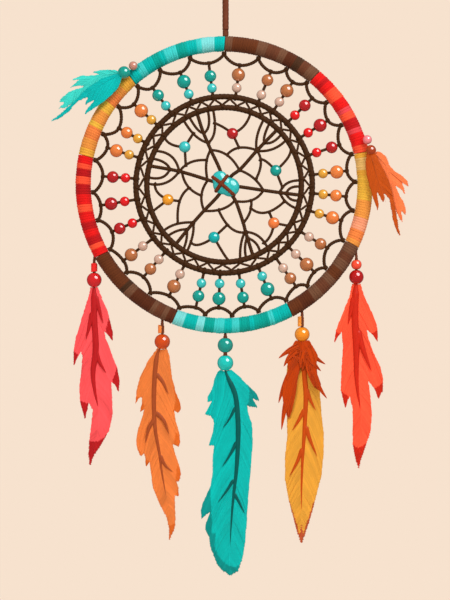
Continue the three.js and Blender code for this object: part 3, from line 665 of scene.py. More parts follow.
# ---- The web: spokes, loops, arcs, and threads to the six beads. A route is the x and z of its points in turn.
# Each spoke is its own route and then those of its loops.
SPOKES = [
    [[-2.9, 10.3, -8.9, 23.3, -14.4, 36.3, -17.3, 45.7], [-25.8, 41.2, -19.3, 33, -10.3, 28.1], [-7.1, 48.1,
     -6.3, 37.1, -9.9, 29], [-22.2, 43.2, -17.7, 37.1, -13.4, 35.1], [-10.3, 46.9, -10.3, 40.4, -13.6, 34.7]],
    [[5.5, 6.5, 10.5, 10.2, 22.3, 23.3, 33.7, 35.1], [25.5, 42, 22.3, 33, 21.9, 23.3], [40.2, 29, 32.9, 24.1,
     22.7, 22.8], [29.2, 39.6, 27.2, 33, 27.2, 28.1], [37.4, 33, 32.9, 29, 27.2, 28.1]],
    [[11.1, -1.4, 26.4, -3.7, 37.8, -5.3, 50.8, -6.9], [50.8, 2.9, 42.7, 1.2, 37.8, -4.6], [48.4, -15.9, 41.9, -11.8,
     37.8, -5.8], [50.8, -1.2, 45.1, -2, 41.9, -5.7], [50.4, -10.6, 45.1, -9.8, 41.9, -6.2]],
    [[6.4, -8.7, 7.6, -10.6, 12.9, -25.7, 14.5, -31.8, 19.4, -47.7], [10.9, -50.5, 11.3, -40.3, 13.9, -32],
     [29.6, -42.8, 23.1, -34.6, 14.9, -31.8], [14.9, -49.7, 14.1, -42, 15.4, -35.5], [24.3, -45.6, 21.5, -39.5,
     16.1, -35.9]],
    [[-3.7, -7, -13.6, -17.5, -20.9, -25.7, -31.5, -38.7], [-39.7, -30.2, -32.3, -26.5, -20.9, -25.3], [-24.2, -43.6,
     -21.3, -34.6, -20.7, -26.1], [-37.2, -33.8, -31.5, -31, -25, -30], [-27, -42.8, -25.4, -37.1, -25, -30.6]],
    [[-9, 2.7, -29.9, 9, -47.8, 12.2], [-43.8, 21.6, -35.6, 19.2, -30.3, 9.4], [-49.5, 0.8, -39.7, 1.2, -30.7, 8.4],
     [-45.8, 16.7, -40.5, 15.1, -36.4, 10.5], [-49.5, 4.9, -42.1, 4.9, -36.8, 10]],
]
ARCS = [[-8.9, 23.3, 1.9, 20, 10.1, 10.2], [10.5, 9.8, 19.8, 4.5, 26.4, -3.7], [26.4, -3.7, 19, -10.2, 7.6, -11],
    [7.2, -10.6, -1.4, -16.3, -13.4, -17.5], [-13.4, -17.5, -15.2, -6.9, -11, 3], [-11.1, 2.9, -12, 14.3, -9.1, 23.3],
    [1.9, 20, 10.1, 24.9, 21.9, 23.3], [22.3, 22.8, 24.7, 14.3, 21.5, 4], [18.2, -10.4, 17.4, -18.3, 12.9, -25.7],
    [17.8, -15.5, 28, -18.7, 40.6, -11.2], [-3.8, -16.8, 4.3, -28.9, 14.1, -32], [-28.3, 8.6, -24.2, -1.2,
    -15.2, -7.3], [-23.4, -2, -29.9, -11, -31.1, -26], [-29.9, 9, -22.6, 15.1, -11.8, 16.6]]
# Each web bead is [name, colour, the route from the ring, then the routes from the web].
WEB_BEADS = [
    ["dark_red", 0xBF181C, [17, 46.1, 13.3, 39.6], [-6.6, 41.6, -0.5, 38.7], [10.1, 24.9]],
    ["light_turquoise", 0x3CC8C6, [-38.1, 30.6, -35.6, 27.3], [-20.6, 34.8], [-25.8, 12.7]],
    ["amber", 0xFCA322, [-47, -17.5], [-46.5, 0.6, -44.6, -5.3], [-29.9, -11]],
    ["teal_blue", 0x00B3B0, [4.3, -51.8, 1.1, -48.5], [2.3, -26.8], [-22.3, -38.5, -16.9, -40.3]],
    ["orange", 0xFA813D, [43.5, -27.7], [30.3, -18.3], [26.6, -39.4, 31.3, -33.8]],
    ["dark_teal", 0x00A194, [43.5, 25.7, 43.5, 19.2], [24.2, 16.8, 28, 15.9], [39.3, -1.9]],
]
# Each lobe of the stone is [x, z, radius].
STONE_LOBES = [[-2.8, 4.1, 5.35], [4, -1.6, 6.45], [-0.9, 0.2, 6.7]]
STONE_FLATNESS = 0.64
# The straps round the stone, each by the x and z of the two ends of the part that shows.
STRAPS = [((-8.2, 5.8), (6.6, -6.8)), ((2.2, 6), (-5.1, -3.7))]


def web_thread(path, radius):
    """A thread through points. Three points make one even arc."""
    points = np.array(upright(path), float)
    if len(points) == 3:
        first, middle, last = points
        bow = 2 * middle - (first + last) / 2
        share = np.linspace(0, 1, 40)[:, None]
        line = resampled((1 - share) ** 2 * first + 2 * share * (1 - share) * bow + share**2 * last, 0.5)
    else:
        line = curve(points, 0.5)
    return thread(line, radius, lay=2.6)


def to_ring(path):
    """The path with its first point moved out to the ring's inner face."""
    (x, z), *rest = path
    reach = (INNER_RING_RADIUS - 0.6) / math.hypot(x, z)
    return [[x * reach, z * reach], *rest]


def tie(place, toward):
    """A small knot where threads cross."""
    x, z = place
    return coil((x, 0, z), (toward[0] - x, 0, toward[1] - z), 0.9, 1.3, 2.5, 0.42)


def make_web(inner_ring):
    pieces = [inner_ring]
    for path, *loops in (map(pairs, spoke) for spoke in SPOKES):
        under_stone = [0.55 * path[0][0], 0.55 * path[0][1], 1.5]
        ends = [[*p, 0] for p in (*path[:-1], to_ring(path[::-1])[0])]
        pieces.append(web_thread([under_stone, *ends], SPOKE_RADIUS))
        for loop in loops:
            pieces.append(web_thread(to_ring(loop), WEB_RADIUS))
            pieces.append(tie(loop[-1], path[-1]))
            pieces.append(tie(to_ring(loop)[0], loop[1]))
    for arc in map(pairs, ARCS):
        pieces.append(web_thread(arc, WEB_RADIUS))
        pieces.append(tie(arc[0], arc[1]))
        pieces.append(tie(arc[-1], arc[1]))
    for name, colour, *routes in WEB_BEADS:
        ring_route, *web_routes = map(pairs, routes)
        node_name = f"web_bead_{name}"
        x, _, z = from_hub(node_name)
        for route in (to_ring(ring_route), *web_routes):
            pieces.append(web_thread([*route, (x, z)], WEB_RADIUS))
            pieces.append(tie(route[0], (x, z)))
        near = web_routes[0][-1]
        ball = bead((x, 0, z), WEB_BEAD_RADIUS, (near[0] - x, 0, near[1] - z), 0.95)
        piece(f"glazed_{name}", ball, bead_material(f"{name}_bead", colour), "hoop", [node_name])
    piece("web_threads", joined(pieces), THREAD, "hoop", ["web", "inner_ring"])


def strap(skin, start, end):
    """A thread that lies once round the stone, over the line from start to end."""
    (x0, z0), (x1, z1) = start, end
    middle = np.array([(x0 + x1) / 2, 0, (z0 + z1) / 2])
    along = np.array([x1 - x0, 0, z1 - z0]) / math.hypot(x1 - x0, z1 - z0)
    line = []
    for angle in np.linspace(0, 2 * math.pi, 72, endpoint=False):
        outward = along * math.cos(angle) - np.array([0, math.sin(angle), 0])
        hit = skin.ray_cast(Vector(metres(middle + 20 * outward)), Vector(-outward))[0]
        rise = 0.75 * abs(math.sin(angle)) - 0.35 * abs(math.cos(angle))
        line.append((np.array(hit) - HUB) / MM + rise * outward)
    line = np.array(line)
    for _ in range(3):
        line = (np.roll(line, 1, 0) + 2 * line + np.roll(line, -1, 0)) / 4
    return thread(line, LASHING_RADIUS, lay=2.6, closed=True)


def lobe(x, z, radius, sides=36):
    """A flattened ball of the stone."""
    ring = np.linspace(0, math.pi, 20)[1:-1]
    turn = np.linspace(0, 2 * math.pi, sides, endpoint=False)
    ball = np.stack([np.outer(np.sin(ring), np.cos(turn)), np.outer(np.sin(ring), np.sin(turn)) * STONE_FLATNESS,
                     np.outer(np.cos(ring), np.ones(sides))], -1)
    points = ball.reshape(-1, 3) * radius + (x, 0, z)
    count = len(points)
    tris = [[count, k, (k + 1) % sides] for k in range(sides)]
    tris += [[count + 1, count - sides + (k + 1) % sides, count - sides + k] for k in range(sides)]
    points = np.vstack([points, [x, 0, z + radius], [x, 0, z - radius]])
    return shape_of(points, grid_faces(len(ring), sides, False, True)[:, ::-1], tris)


def make_stone():
    """Lobes grown together into one polished nugget, with two straps round it."""
    mesh = bpy.data.meshes.new("stone")
    lobes = linked("nugget", mesh)
    points, quads, tris = joined([lobe(*place) for place in STONE_LOBES])
    mesh.from_pydata(metres(points), [], quads.tolist() + tris.tolist())
    skin = lobes.modifiers.new("skin", "REMESH")
    skin.mode = "VOXEL"
    skin.voxel_size = 0.0003
    soft = lobes.modifiers.new("soft", "SMOOTH")
    soft.factor = 0.5
    soft.iterations = 30
    solid = bpy.data.meshes.new_from_object(lobes.evaluated_get(bpy.context.evaluated_depsgraph_get()))
    lobes.modifiers.clear()
    lobes.data = solid
    solid.shade_smooth()
    solid.materials.clear()
    solid.materials.append(stone_material())
    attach(lobes, "hoop")
    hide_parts("centre_stone")
    skin = BVHTree.FromPolygons([v.co for v in solid.vertices], [tuple(f.vertices) for f in solid.polygons])
    piece("stone_lashing", joined([strap(skin, *ends) for ends in STRAPS]), LASHING, "hoop")


make_web(make_rings())
make_stone()


# ---- Feathers, built barb by barb
SPARE_SHAFT = 60
BARB_THICKNESS = 0.17
BARB_STEP = 0.8
LONGEST_BARB = 26


def inside(points, outline):
    """Which of the points lie inside an outline."""
    x, z = points[..., 0], points[..., 1]
    found = np.zeros(x.shape, bool)
    corners = [*outline, outline[0]]
    for (x0, z0), (x1, z1) in zip(corners, corners[1:]):
        if z0 != z1:
            found ^= ((z0 > z) != (z1 > z)) & (x < x0 + (x1 - x0) * (z - z0) / (z1 - z0))
    return found


def longer(line, extra):
    """The shaft's line, made longer at both ends so that barbs beyond it have roots too."""
    steps = np.arange(0.5, extra, 0.5)[:, None]
    start = (line[0] - line[6]) / np.linalg.norm(line[0] - line[6])
    end = (line[-1] - line[-7]) / np.linalg.norm(line[-1] - line[-7])
    return np.vstack([line[0] + start * steps[::-1], line, line[-1] + end * steps])


def shaft_frame(shaft):
    """The shaft's line, made longer, the distances along it, and its direction, evened out."""
    line = longer(curve(upright(shaft), 0.5)[:, [0, 2]], SPARE_SHAFT)
    padded = np.pad(np.gradient(line, axis=0), ((15, 15), (0, 0)), mode="edge")
    along = np.stack([np.convolve(padded[:, i], np.ones(31) / 31, "valid") for i in range(2)], 1)
    return line, distances(line), along / np.linalg.norm(along, axis=1)[:, None]


def barb_reach(slope, bend):
    """Distances from the shaft at even steps along a barb that leans by slope and bends down."""
    found = [0.0]
    while found[-1] < LONGEST_BARB:
        found.append(found[-1] + BARB_STEP / math.hypot(1, slope + 2 * bend * found[-1]))
    return np.array(found)


def barb(path, depth, width):
    """One thin barb, a sliver with a ridge along its front and back."""
    along = np.gradient(path, axis=0)
    along /= np.linalg.norm(along, axis=1)[:, None] + 1e-9
    across = np.stack([along[:, 1], -along[:, 0]], 1) * width[:, None]
    front = np.column_stack([path[:, 0], depth - BARB_THICKNESS, path[:, 1]])
    back = np.column_stack([path[:, 0], depth + BARB_THICKNESS, path[:, 1]])
    left, right = path - across, path + across
    left = np.column_stack([left[:, 0], depth - 0.05, left[:, 1]])
    right = np.column_stack([right[:, 0], depth + 0.05, right[:, 1]])
    points = np.stack([front, left, back, right], 1)
    last = 4 * (len(path) - 1)
    ends = [[3, 2, 1, 0], [last, last + 1, last + 2, last + 3]]
    return shape_of(points, np.vstack([grid_faces(len(path), 4, False, True), ends]))


def vane(outline, shaft, colour, slope=1.1, bend=0.07, pitch=1.15, patches=(), dark=None, wave=0.22, curl=0.9):
    """All barbs of a feather inside its outline, and their colours. Points inside a patch are dyed dark."""
    line, at, along = shaft_frame(shaft)
    reach = barb_reach(slope, bend)
    drop = slope * reach + bend * reach**2
    lean = np.hypot(1, slope + 2 * bend * reach)
    base, deep = np.array(linear(colour)), np.array(linear(dark or colour))
    shapes, tints = [], []
    clump_depth, clump_tone = 0.0, 1.0
    for side in (-1, 1):
        for i, root in enumerate(np.arange(SPARE_SHAFT / 2, at[-1] - SPARE_SHAFT + 8, pitch)):
            if i % 5 == 0:
                clump_depth, clump_tone = rng.normal(0, 0.16), 1 + rng.normal(0, 0.035)
            place = root + drop + rng.normal(0, 0.06)
            centre = np.stack([np.interp(place, at, line[:, k]) for k in range(2)], 1)
            normal = np.stack([np.interp(place, at, along[:, 1]), -np.interp(place, at, along[:, 0])], 1)
            path = centre + side * (reach[:, None] - 0.4) * normal
            held = inside(path, outline)
            changes = np.flatnonzero(np.diff(np.concatenate([[0], held, [0]])))
            tone = clump_tone * (1 + rng.normal(0, 0.04))
            for first, last in zip(changes[::2], changes[1::2]):
                if last - first < 2:
                    continue
                run = path[first:last]
                end = run[-1] + (run[-1] - run[-2]) * rng.uniform(0.3, 0.7)
                run = np.vstack([run, end])
                d = np.append(reach[first:last], reach[last - 1])
                width = 0.62 * pitch / np.append(lean[first:last], lean[last - 1]) + 0.1
                width[-1] *= 0.1
                width[-2] *= 0.65
                if first > 0:
                    width[0] *= 0.3
                depth = clump_depth * np.minimum(1, d / 5) + curl * (d / 15) ** 2
                depth = depth + wave * np.sin(run[:, 1] / 11 + side) * np.minimum(1, d / 6)
                shapes.append(barb(run, depth, width))
                shade = np.tile(base * tone, (len(run), 1))
                test = run + rng.normal(0, 0.1, 2)
                for patch in patches:
                    shade[inside(test, patch)] = deep * tone
                tints.append(np.repeat(shade, 4, 0))
    return joined(shapes), np.vstack(tints)


def shaft_shape(points, width, hold=0.0, depth=0.45):
    """A tapering shaft, oval in section, which keeps its full width along its first part."""
    line = curve(upright(points), 0.7)
    share = np.linspace(0, 1, len(line))
    size = width / 2 * np.clip((1 - share) / (1 - hold), 0.02, 1) ** 0.7 * np.clip(0.3 + 8 * share, 0, 1)
    return thread(line, size, sides=12, depth=0, flat=depth)


def moved(shape, place):
    points, quads, tris = shape
    return points + np.asarray(place, float), quads, tris


# Each drop is [place, x, cord radius, sleeve, beads]. A sleeve is [top, bottom, shift to the side, shift back,
# colour, slot], a bead [name, radius, colour, slot]. The feather's points are from the hole under the last bead.
DROPS = [
    ["left_outer", -87.4, 1.1, [-52.6, -58.7, 0, 0, 0xE82A26, "red_thread"], [["bead", 5.05, 0xDB1B1F, None]]],
    ["left_inner", -41.6, 1.1, [-94.2, -100, -0.8, 1.2, 0xF3843F, "orange_thread"],
     [["bead", 5.2, 0xD84A04, "burnt_orange_bead"]]],
    ["middle", 0.8, 1.45, None,
     [["upper_bead", 5.2, 0x119B8D, "dark_teal_bead"], ["lower_bead", 5.35, 0x12CABE, "light_turquoise_bead"]]],
    ["right_inner", 52.5, 1.1, [-88.4, -95.4, -0.8, 1.3, 0xF0913C, "orange_thread"],
     [["bead", 5.05, 0xFA9218, "amber_bead"]]],
    ["right_outer", 89, 1.1, None,
     [["small_bead", 3.5, 0xFF5033, "orange_bead"], ["bead", 4.9, 0xB90908, "dark_red_bead"]]],
]
# Points are x and z in turn. A branch is three points and a width; a patch is an outline that is dyed dark.
FEATHERS = {
    "left_outer": {
        "slot": "rose_feather", "colour": 0xFB5558, "dark": 0xB9191C, "shaft_colour": 0xB9191C, "width": 4.2,
        "hold": 0.6,
        "shaft": [0, 1.5, 0, -20, 1, -42.5, -0.8, -57.5, 0.5, -70, 3, -82],
        "tail": [2.5, -95, -1, -108, -3, -121],
        "branches": [[0.6, -5, 2.5, -12, 6, -24, 3.2], [-0.6, -16, -2.6, -23, -5.5, -35, 3.4], [1, -43, 3.5, -50,
            8, -57.5, 3]],
        "patches": [[10, -20, 14, -28, 13.5, -39, 7.5, -29.5], [-16, -41.5, -11, -45, -13.5, -57], [15.5, -53,
            19, -60, 17, -74, 12, -63], [-11, -75.5, -4, -78.5, -6, -93], [-6, -103, 1, -104, 6, -101.5, 12, -94,
            9, -106, -3, -125]],
        "outline": [-2.4, 0.5, -3.4, -5, -7.5, -18, -12.5, -34.5, -14, -43, -14, -54, -11.5, -47, -9, -43, -8, -47,
            -9, -58.5, -10, -67.5, -9.5, -77, -6, -90, -5, -83, -3.5, -77.5, -1, -83, -2, -92.5, -3.5, -103.5,
            -4, -113, -3, -121, -0.5, -114, 5, -105.5, 10, -96.5, 12.5, -85, 12, -74, 11.5, -63.5, 14, -65.5,
            16.5, -71, 17, -62.5, 15, -53, 11, -43, 7.5, -34.5, 7, -30, 9, -31.5, 12.5, -36.5, 12.5, -30.5, 11, -24.5,
            9, -16, 5, -7, 2.3, 0.5],
    },
    "left_inner": {
        "slot": "orange_feather", "colour": 0xE67C39, "dark": 0xD9661F, "shaft_colour": 0xA34A22, "width": 3.2,
        "hold": 0.3,
        "shaft": [-1, 1.5, -3.2, -3, -5.5, -25.5, -5.5, -43, -4.5, -55.5, -2, -69.5, -0.5, -81, 3.5, -104.5],
        "tail": [5, -115, 5, -129],
        "branches": [[-4.5, -16, 0, -21.5, 4, -30, 2.6], [-5, -42, 1, -48, 4.5, -57, 2.6], [-4.5, -46, -9, -53,
            -11.5, -63, 2.6], [-1.8, -71, 2, -78, 7, -82.5, 2.4]],
        "patches": [[-20, -29, -15.5, -33, -16, -41], [-15, -35, -11.5, -38, -15, -45], [7, -24, 14, -34, 14, -45,
            7, -42, 9, -35], [9, -56, 14, -60, 12, -68, 7.5, -64], [10, -78, 14, -84, 12, -92, 8.5, -89], [9.5, -94,
            13, -98, 10, -101], [-19, -66, -14.5, -69, -14, -76], [-13, -72, -8.5, -76, -11, -83], [4, -119,
            9.5, -117, 4.5, -133]],
        "outline": [-3.1, 1.3, -10, -9, -15, -18.5, -17.5, -29, -18, -37, -16.5, -33.5, -14, -32.5, -13.5, -36,
            -15, -42, -12, -40.5, -13.5, -46, -16.5, -54.5, -17.5, -61.5, -17, -67, -14.5, -72.5, -12.5, -70,
            -11.5, -73, -11, -79.5, -8.5, -75.5, -7.5, -83.5, -6.5, -92.5, -2, -104, 3, -113.5, 4.5, -120.5,
            4.5, -129.5, 8.5, -120.5, 9, -113.5, 8.5, -105.5, 8.5, -98.5, 11, -99, 11, -93.5, 9.5, -89, 11.5, -89,
            12.5, -84.5, 12, -80, 9, -71.5, 7, -64, 11, -65.5, 12, -62.5, 11.5, -56.5, 9, -48.5, 8, -41.5, 11, -43,
            12.5, -40.5, 12, -36, 9, -29, 6.5, -19.5, 5.5, -10.5, 4.3, -2.5, 2.8, 1.2],
    },
    "middle": {
        "slot": "turquoise_feather", "colour": 0x00B4AC, "dark": 0x028F88, "shaft_colour": 0x005852, "width": 3.4,
        "hold": 0.35,
        "shaft": [-0.5, 1.5, 1.5, -4, 6.5, -15.5, 8.5, -33.5, 8.5, -49, 7.5, -67, 5.5, -84.5, 4, -102.5, 3, -122.5],
        "tail": [3, -130, 3.5, -138],
        "branches": [[7, -24, 3.5, -31, -1.5, -38.5, 2], [8, -47, 4, -55, -2, -64.5, 2.2], [5.8, -73, 0, -82,
            -5, -88.5, 2], [5.6, -82, 9, -88, 13, -96, 2]],
        "patches": [[15.3, -7, 26, -18, 25, -29, 14.5, -24.5, 16.2, -17], [-10.3, -76, -9.6, -89.5, -8.9, -104.4,
            -9.3, -109, -6.3, -109.4, -7.3, -117.8, -4.9, -124.5, 0.5, -129.9, 5.2, -132.3, 9.2, -130.9, 14, -124,
            14, -134, 6, -143, -10, -136, -18, -115, -20, -88]],
        "outline": [-3.4, 1.3, -5.4, -1, -7, -4.5, -9, -12, -14.5, -22, -9, -20.5, -14, -29.5, -10, -30.5,
            -7.5, -34.5, -8.5, -42.5, -11, -50.5, -7.5, -50.5, -8.5, -59, -8.5, -69, -10, -78, -15, -89, -16.5, -94.5,
            -16, -100, -12.5, -96.5, -10, -95.5, -13, -102.5, -13.5, -107, -11, -112, -10, -119, -6, -129.5,
            -1.5, -135, 3.5, -138, 8.5, -135, 11.5, -127, 13.5, -115, 14.5, -100.5, 15.5, -84.5, 17, -67, 18.5, -49,
            18, -36.5, 15.5, -29, 15, -24, 22, -25, 18.5, -19, 23, -20.5, 20.5, -14.5, 14, -8.5, 8.5, -3, 3.3, 1.3],
    },
    "right_inner": {
        "slot": "yellow_feather", "colour": 0xE29E36, "dark": 0xB9502A, "shaft_colour": 0xC24605, "width": 3.6,
        "hold": 0.25,
        "shaft": [0, 1.5, 1.5, -21.5, 2.5, -35, 2, -50.5, 1, -68.5, 0, -84, -0.5, -104, -0.5, -118.5],
        "tail": [-0.5, -128, -0.5, -136],
        "branches": [[2.6, -31, 5, -38, 9, -46, 2.8], [2, -45, -2.5, -53, -6.5, -59.5, 2.8], [2, -56, 5, -65, 10, -77,
            2.8], [0.6, -71, -3.5, -81, -8.5, -90.5, 2.6]],
        "patches": [[-12, -104, -8.6, -107, -3.7, -122, -1.5, -129.5, -0.6, -122, 0.5, -129.5, 4.3, -118, 7.6, -108,
            12, -103, 8, -130, -0.5, -141, -8, -132]],
        "outline": [-2.6, 1.1, -7.5, -7.5, -10, -16, -11, -29.5, -10.5, -39.5, -10, -64, -11.5, -77.5, -11.5, -93,
            -9, -106.5, -6.5, -116.5, -4, -126.5, -0.5, -136.5, 3.5, -125.5, 7.5, -112, 9.5, -104, 13, -90.5,
            14.5, -75, 14.5, -61.5, 13, -48.5, 12, -34.5, 9.5, -21, 6.5, -7.5, 2.6, 1.1],
    },
    "right_outer": {
        "slot": "coral_feather", "colour": 0xFF5636, "dark": 0xC9240D, "shaft_colour": 0xC9240D, "width": 4.8,
        "hold": 0.45,
        "shaft": [-0.1, 1.5, -0.4, -4, -1, -22, 0, -42.5, 0, -59.5, 1, -73, 3, -86],
        "tail": [3, -100, 1.5, -124],
        "branches": [[-1.5, -8, -3.2, -16, -5.7, -27, 3.6], [0.2, -30, 4.5, -44, 10, -58.5, 4]],
        "patches": [[-17, -29.5, -10.5, -33.5, -15.5, -43], [9, -34, 17, -29, 15.5, -43], [11.5, -70.5, 20, -65,
            15.5, -82], [-13, -70.5, -5, -75.5, -7.5, -87], [-5, -106, 1, -110.2, 9, -105.5, 6, -121, 0, -128]],
        "outline": [-2.7, 1.2, -4.8, -9, -9, -19, -13.5, -30.5, -15, -40, -12.5, -35.5, -10, -32, -9, -42, -10, -58.5,
            -10.5, -71.5, -7.5, -83.5, -6, -79, -4.5, -75, -2.5, -84, -2.5, -108.5, -1, -117, 1.5, -124.5, 3.5, -117,
            6.5, -108.5, 9.5, -99.5, 10.5, -89, 9.5, -76, 8, -65, 12.5, -70.5, 15, -78, 18, -71.5, 18, -63.5, 16, -55,
            11.5, -46, 8, -36.5, 7, -30.5, 11, -34, 14.5, -39, 14.5, -34.5, 14, -28.5, 10.5, -19, 5.5, -9, 2.4, 1.1],
    },
}
DOWN = [-4.3, 1.5, -7, -2.8, -9.5, -7.5, -8.5, -8.5, -10, -14, -9.5, -20, -13, -29, -13.5, -36, -12, -46, -9, -52,
    -7, -46, -4.5, -35, -2.5, -21.5, -1, -16.5, 0, -20, 3, -14.5, 5, -25, 8, -30.5, 12, -33, 12.5, -28, 10, -21.5,
    9.5, -15, 10.5, -9, 7.7, -3.8, 4.3, 1.5, 3, 1.5, 0, 0.9, -3, 1.5]
# The pointed locks of the down: x and z of the root, then of the tip.
LOCKS = [[-2, -3, -16, -11], [-4, -6, -12.5, -16.5], [-7, -20, -16, -41], [-8, -32, -14, -59], [-6, -26, -9.5, -50],
    [2.5, -4, 15.5, -15], [4, -8, 12.5, -19.5], [6, -19, 16.5, -38], [1, -6, -1, -18], [3, -6, 1.8, -15.5], [-3, -10,
    -10.5, -26], [4, -12, 8.5, -31]]


SILK_RADIUS = 0.55
SILK_PITCH = 0.95
# Where the bead's round underside dips into the top of a feather.
BEAD_HOLLOW = [[1.5, 0.6], [0, 0.45], [-1.5, 0.6]]


def make_feather(place, hole):
    look = FEATHERS[place]
    shaft = pairs(look["shaft"])
    shape, tints = vane(pairs(look["outline"]) + BEAD_HOLLOW, shaft + pairs(look["tail"]), look["colour"],
                        patches=[pairs(patch) for patch in look["patches"]], dark=look["dark"])
    body = f"{place}_plume"
    piece(f"{place}_vane", moved(shape, hole), FEATHER, body, [f"{place}_feather"], tints)
    parts = [shaft_shape(shaft, look["width"], look["hold"], 0.6)]
    for *route, width in look["branches"]:
        start, middle, end = pairs(route)
        parts.append(shaft_shape([start, (*middle, -0.3), (*end, -0.5)], 1.2 * width, 0.1, 0.5))
    horn = quill_material(f"{place}_horn", look["shaft_colour"])
    piece(f"{place}_shaft", moved(joined(parts), hole), horn, body)


def lock(root, tip, colour):
    """A pointed lock of down: fine barbs that part at the root and meet at the tip."""
    root, tip = np.array(root, float), np.array(tip, float)
    share = np.linspace(0, 1, 18)[:, None]
    across = np.array([tip[1] - root[1], root[0] - tip[0]]) / np.linalg.norm(tip - root)
    shapes, tints = [], []
    for offset in np.linspace(-2.3, 2.3, 9):
        bow = across * (offset * (1 - share) ** 0.8 + 0.9 * np.sin(math.pi * share))
        path = root + (tip - root) * share + bow
        width = 0.42 * (1 - share[:, 0]) ** 0.5 + 0.06
        depth = -0.5 + 0.25 * rng.normal() - 0.8 * share[:, 0] ** 2
        shapes.append(barb(path, depth, width))
        tints.append(np.tile(np.array(linear(colour)) * (1 + rng.normal(0, 0.05)), (4 * len(path), 1)))
    return joined(shapes), np.vstack(tints)


def make_down(hole):
    colour = 0xB93C00
    fluffs = [vane(pairs(DOWN), [(0, 0), (0.3, -6), (0.5, -12), (0.5, -18)], colour, slope=1.5, bend=0.14, pitch=1.0,
                   wave=0.9, curl=-0.8)]
    fluffs += [lock(*pairs(ends), colour) for ends in LOCKS]
    shape = joined([fluff for fluff, _ in fluffs])
    place = np.array(hole) + (0, -2.2, 0)
    piece("right_inner_fluff", moved(shape, place), FEATHER, "right_inner_plume",
          ["right_inner_down"], np.vstack([tints for _, tints in fluffs]))


def make_rim_tie(place, x, top):
    """The top of a drop's cord, which goes straight up behind the rim and is knotted there."""
    reach, line = WRAP_RADIUS + 0.95, []
    for z in np.linspace(top - 0.8, top + 9, 28):
        off_centre = math.hypot(x, z) - HOOP_RADIUS
        line.append((x, math.sqrt(max(0, reach**2 - off_centre**2)), z))
    cord = thread(resampled(np.array(line), 0.5), 0.95, lay=4)
    knot = coil(line[-4], (0, 0, 1), 1.25, 2, 2.5, 0.7)
    piece(f"{place}_rim_tie", joined([cord, knot]), CORD, "hoop")


def make_drop(place, x, cord_radius, sleeve, beads):
    centres = {name: from_hub(f"{place}_{name}") for name, *_ in beads}
    last_name, last_radius, *_ = beads[-1]
    hole = centres[last_name] - (0, 0, last_radius)
    foot, top = ((np.array(corner) - HUB)[2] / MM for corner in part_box(f"{place}_cord"))
    line = curve(upright([(x, top), (x, (top + foot) / 2), (x, foot)]))
    thickness = np.interp(line[:, 2], (foot, top - 2, top), (cord_radius, cord_radius, 1.0))
    strand = thread(line, thickness, 12, 2, 4)
    piece(f"{place}_strand", strand, CORD, f"{place}_line", [f"{place}_cord"])
    make_rim_tie(place, x, top)
    if sleeve:
        upper, lower, shift, depth, colour, slot = sleeve
        turns = (upper - lower) / SILK_PITCH
        middle = (x + shift, depth, (upper + lower) / 2)
        wound = coil(middle, (0, 0, 1), 1.7, upper - lower - 0.9, turns, SILK_RADIUS)
        silk = thread_material(f"{place}_silk", colour, 0.5)
        piece(f"{place}_winding", wound, silk, f"{place}_line", [f"{place}_sleeve"])
    for name, radius, colour, slot in beads:
        ball = bead(centres[name], radius, (0, 0, 1), cord_radius + 0.4, 36)
        glaze = bead_material(f"{place}_{name}_glaze", colour)
        piece(f"{place}_{name}_ball", ball, glaze, f"{place}_{name}_body", [f"{place}_{name}"])
    make_feather(place, hole)
    if place == "right_inner":
        make_down(hole)


for drop in DROPS:
    make_drop(*drop)

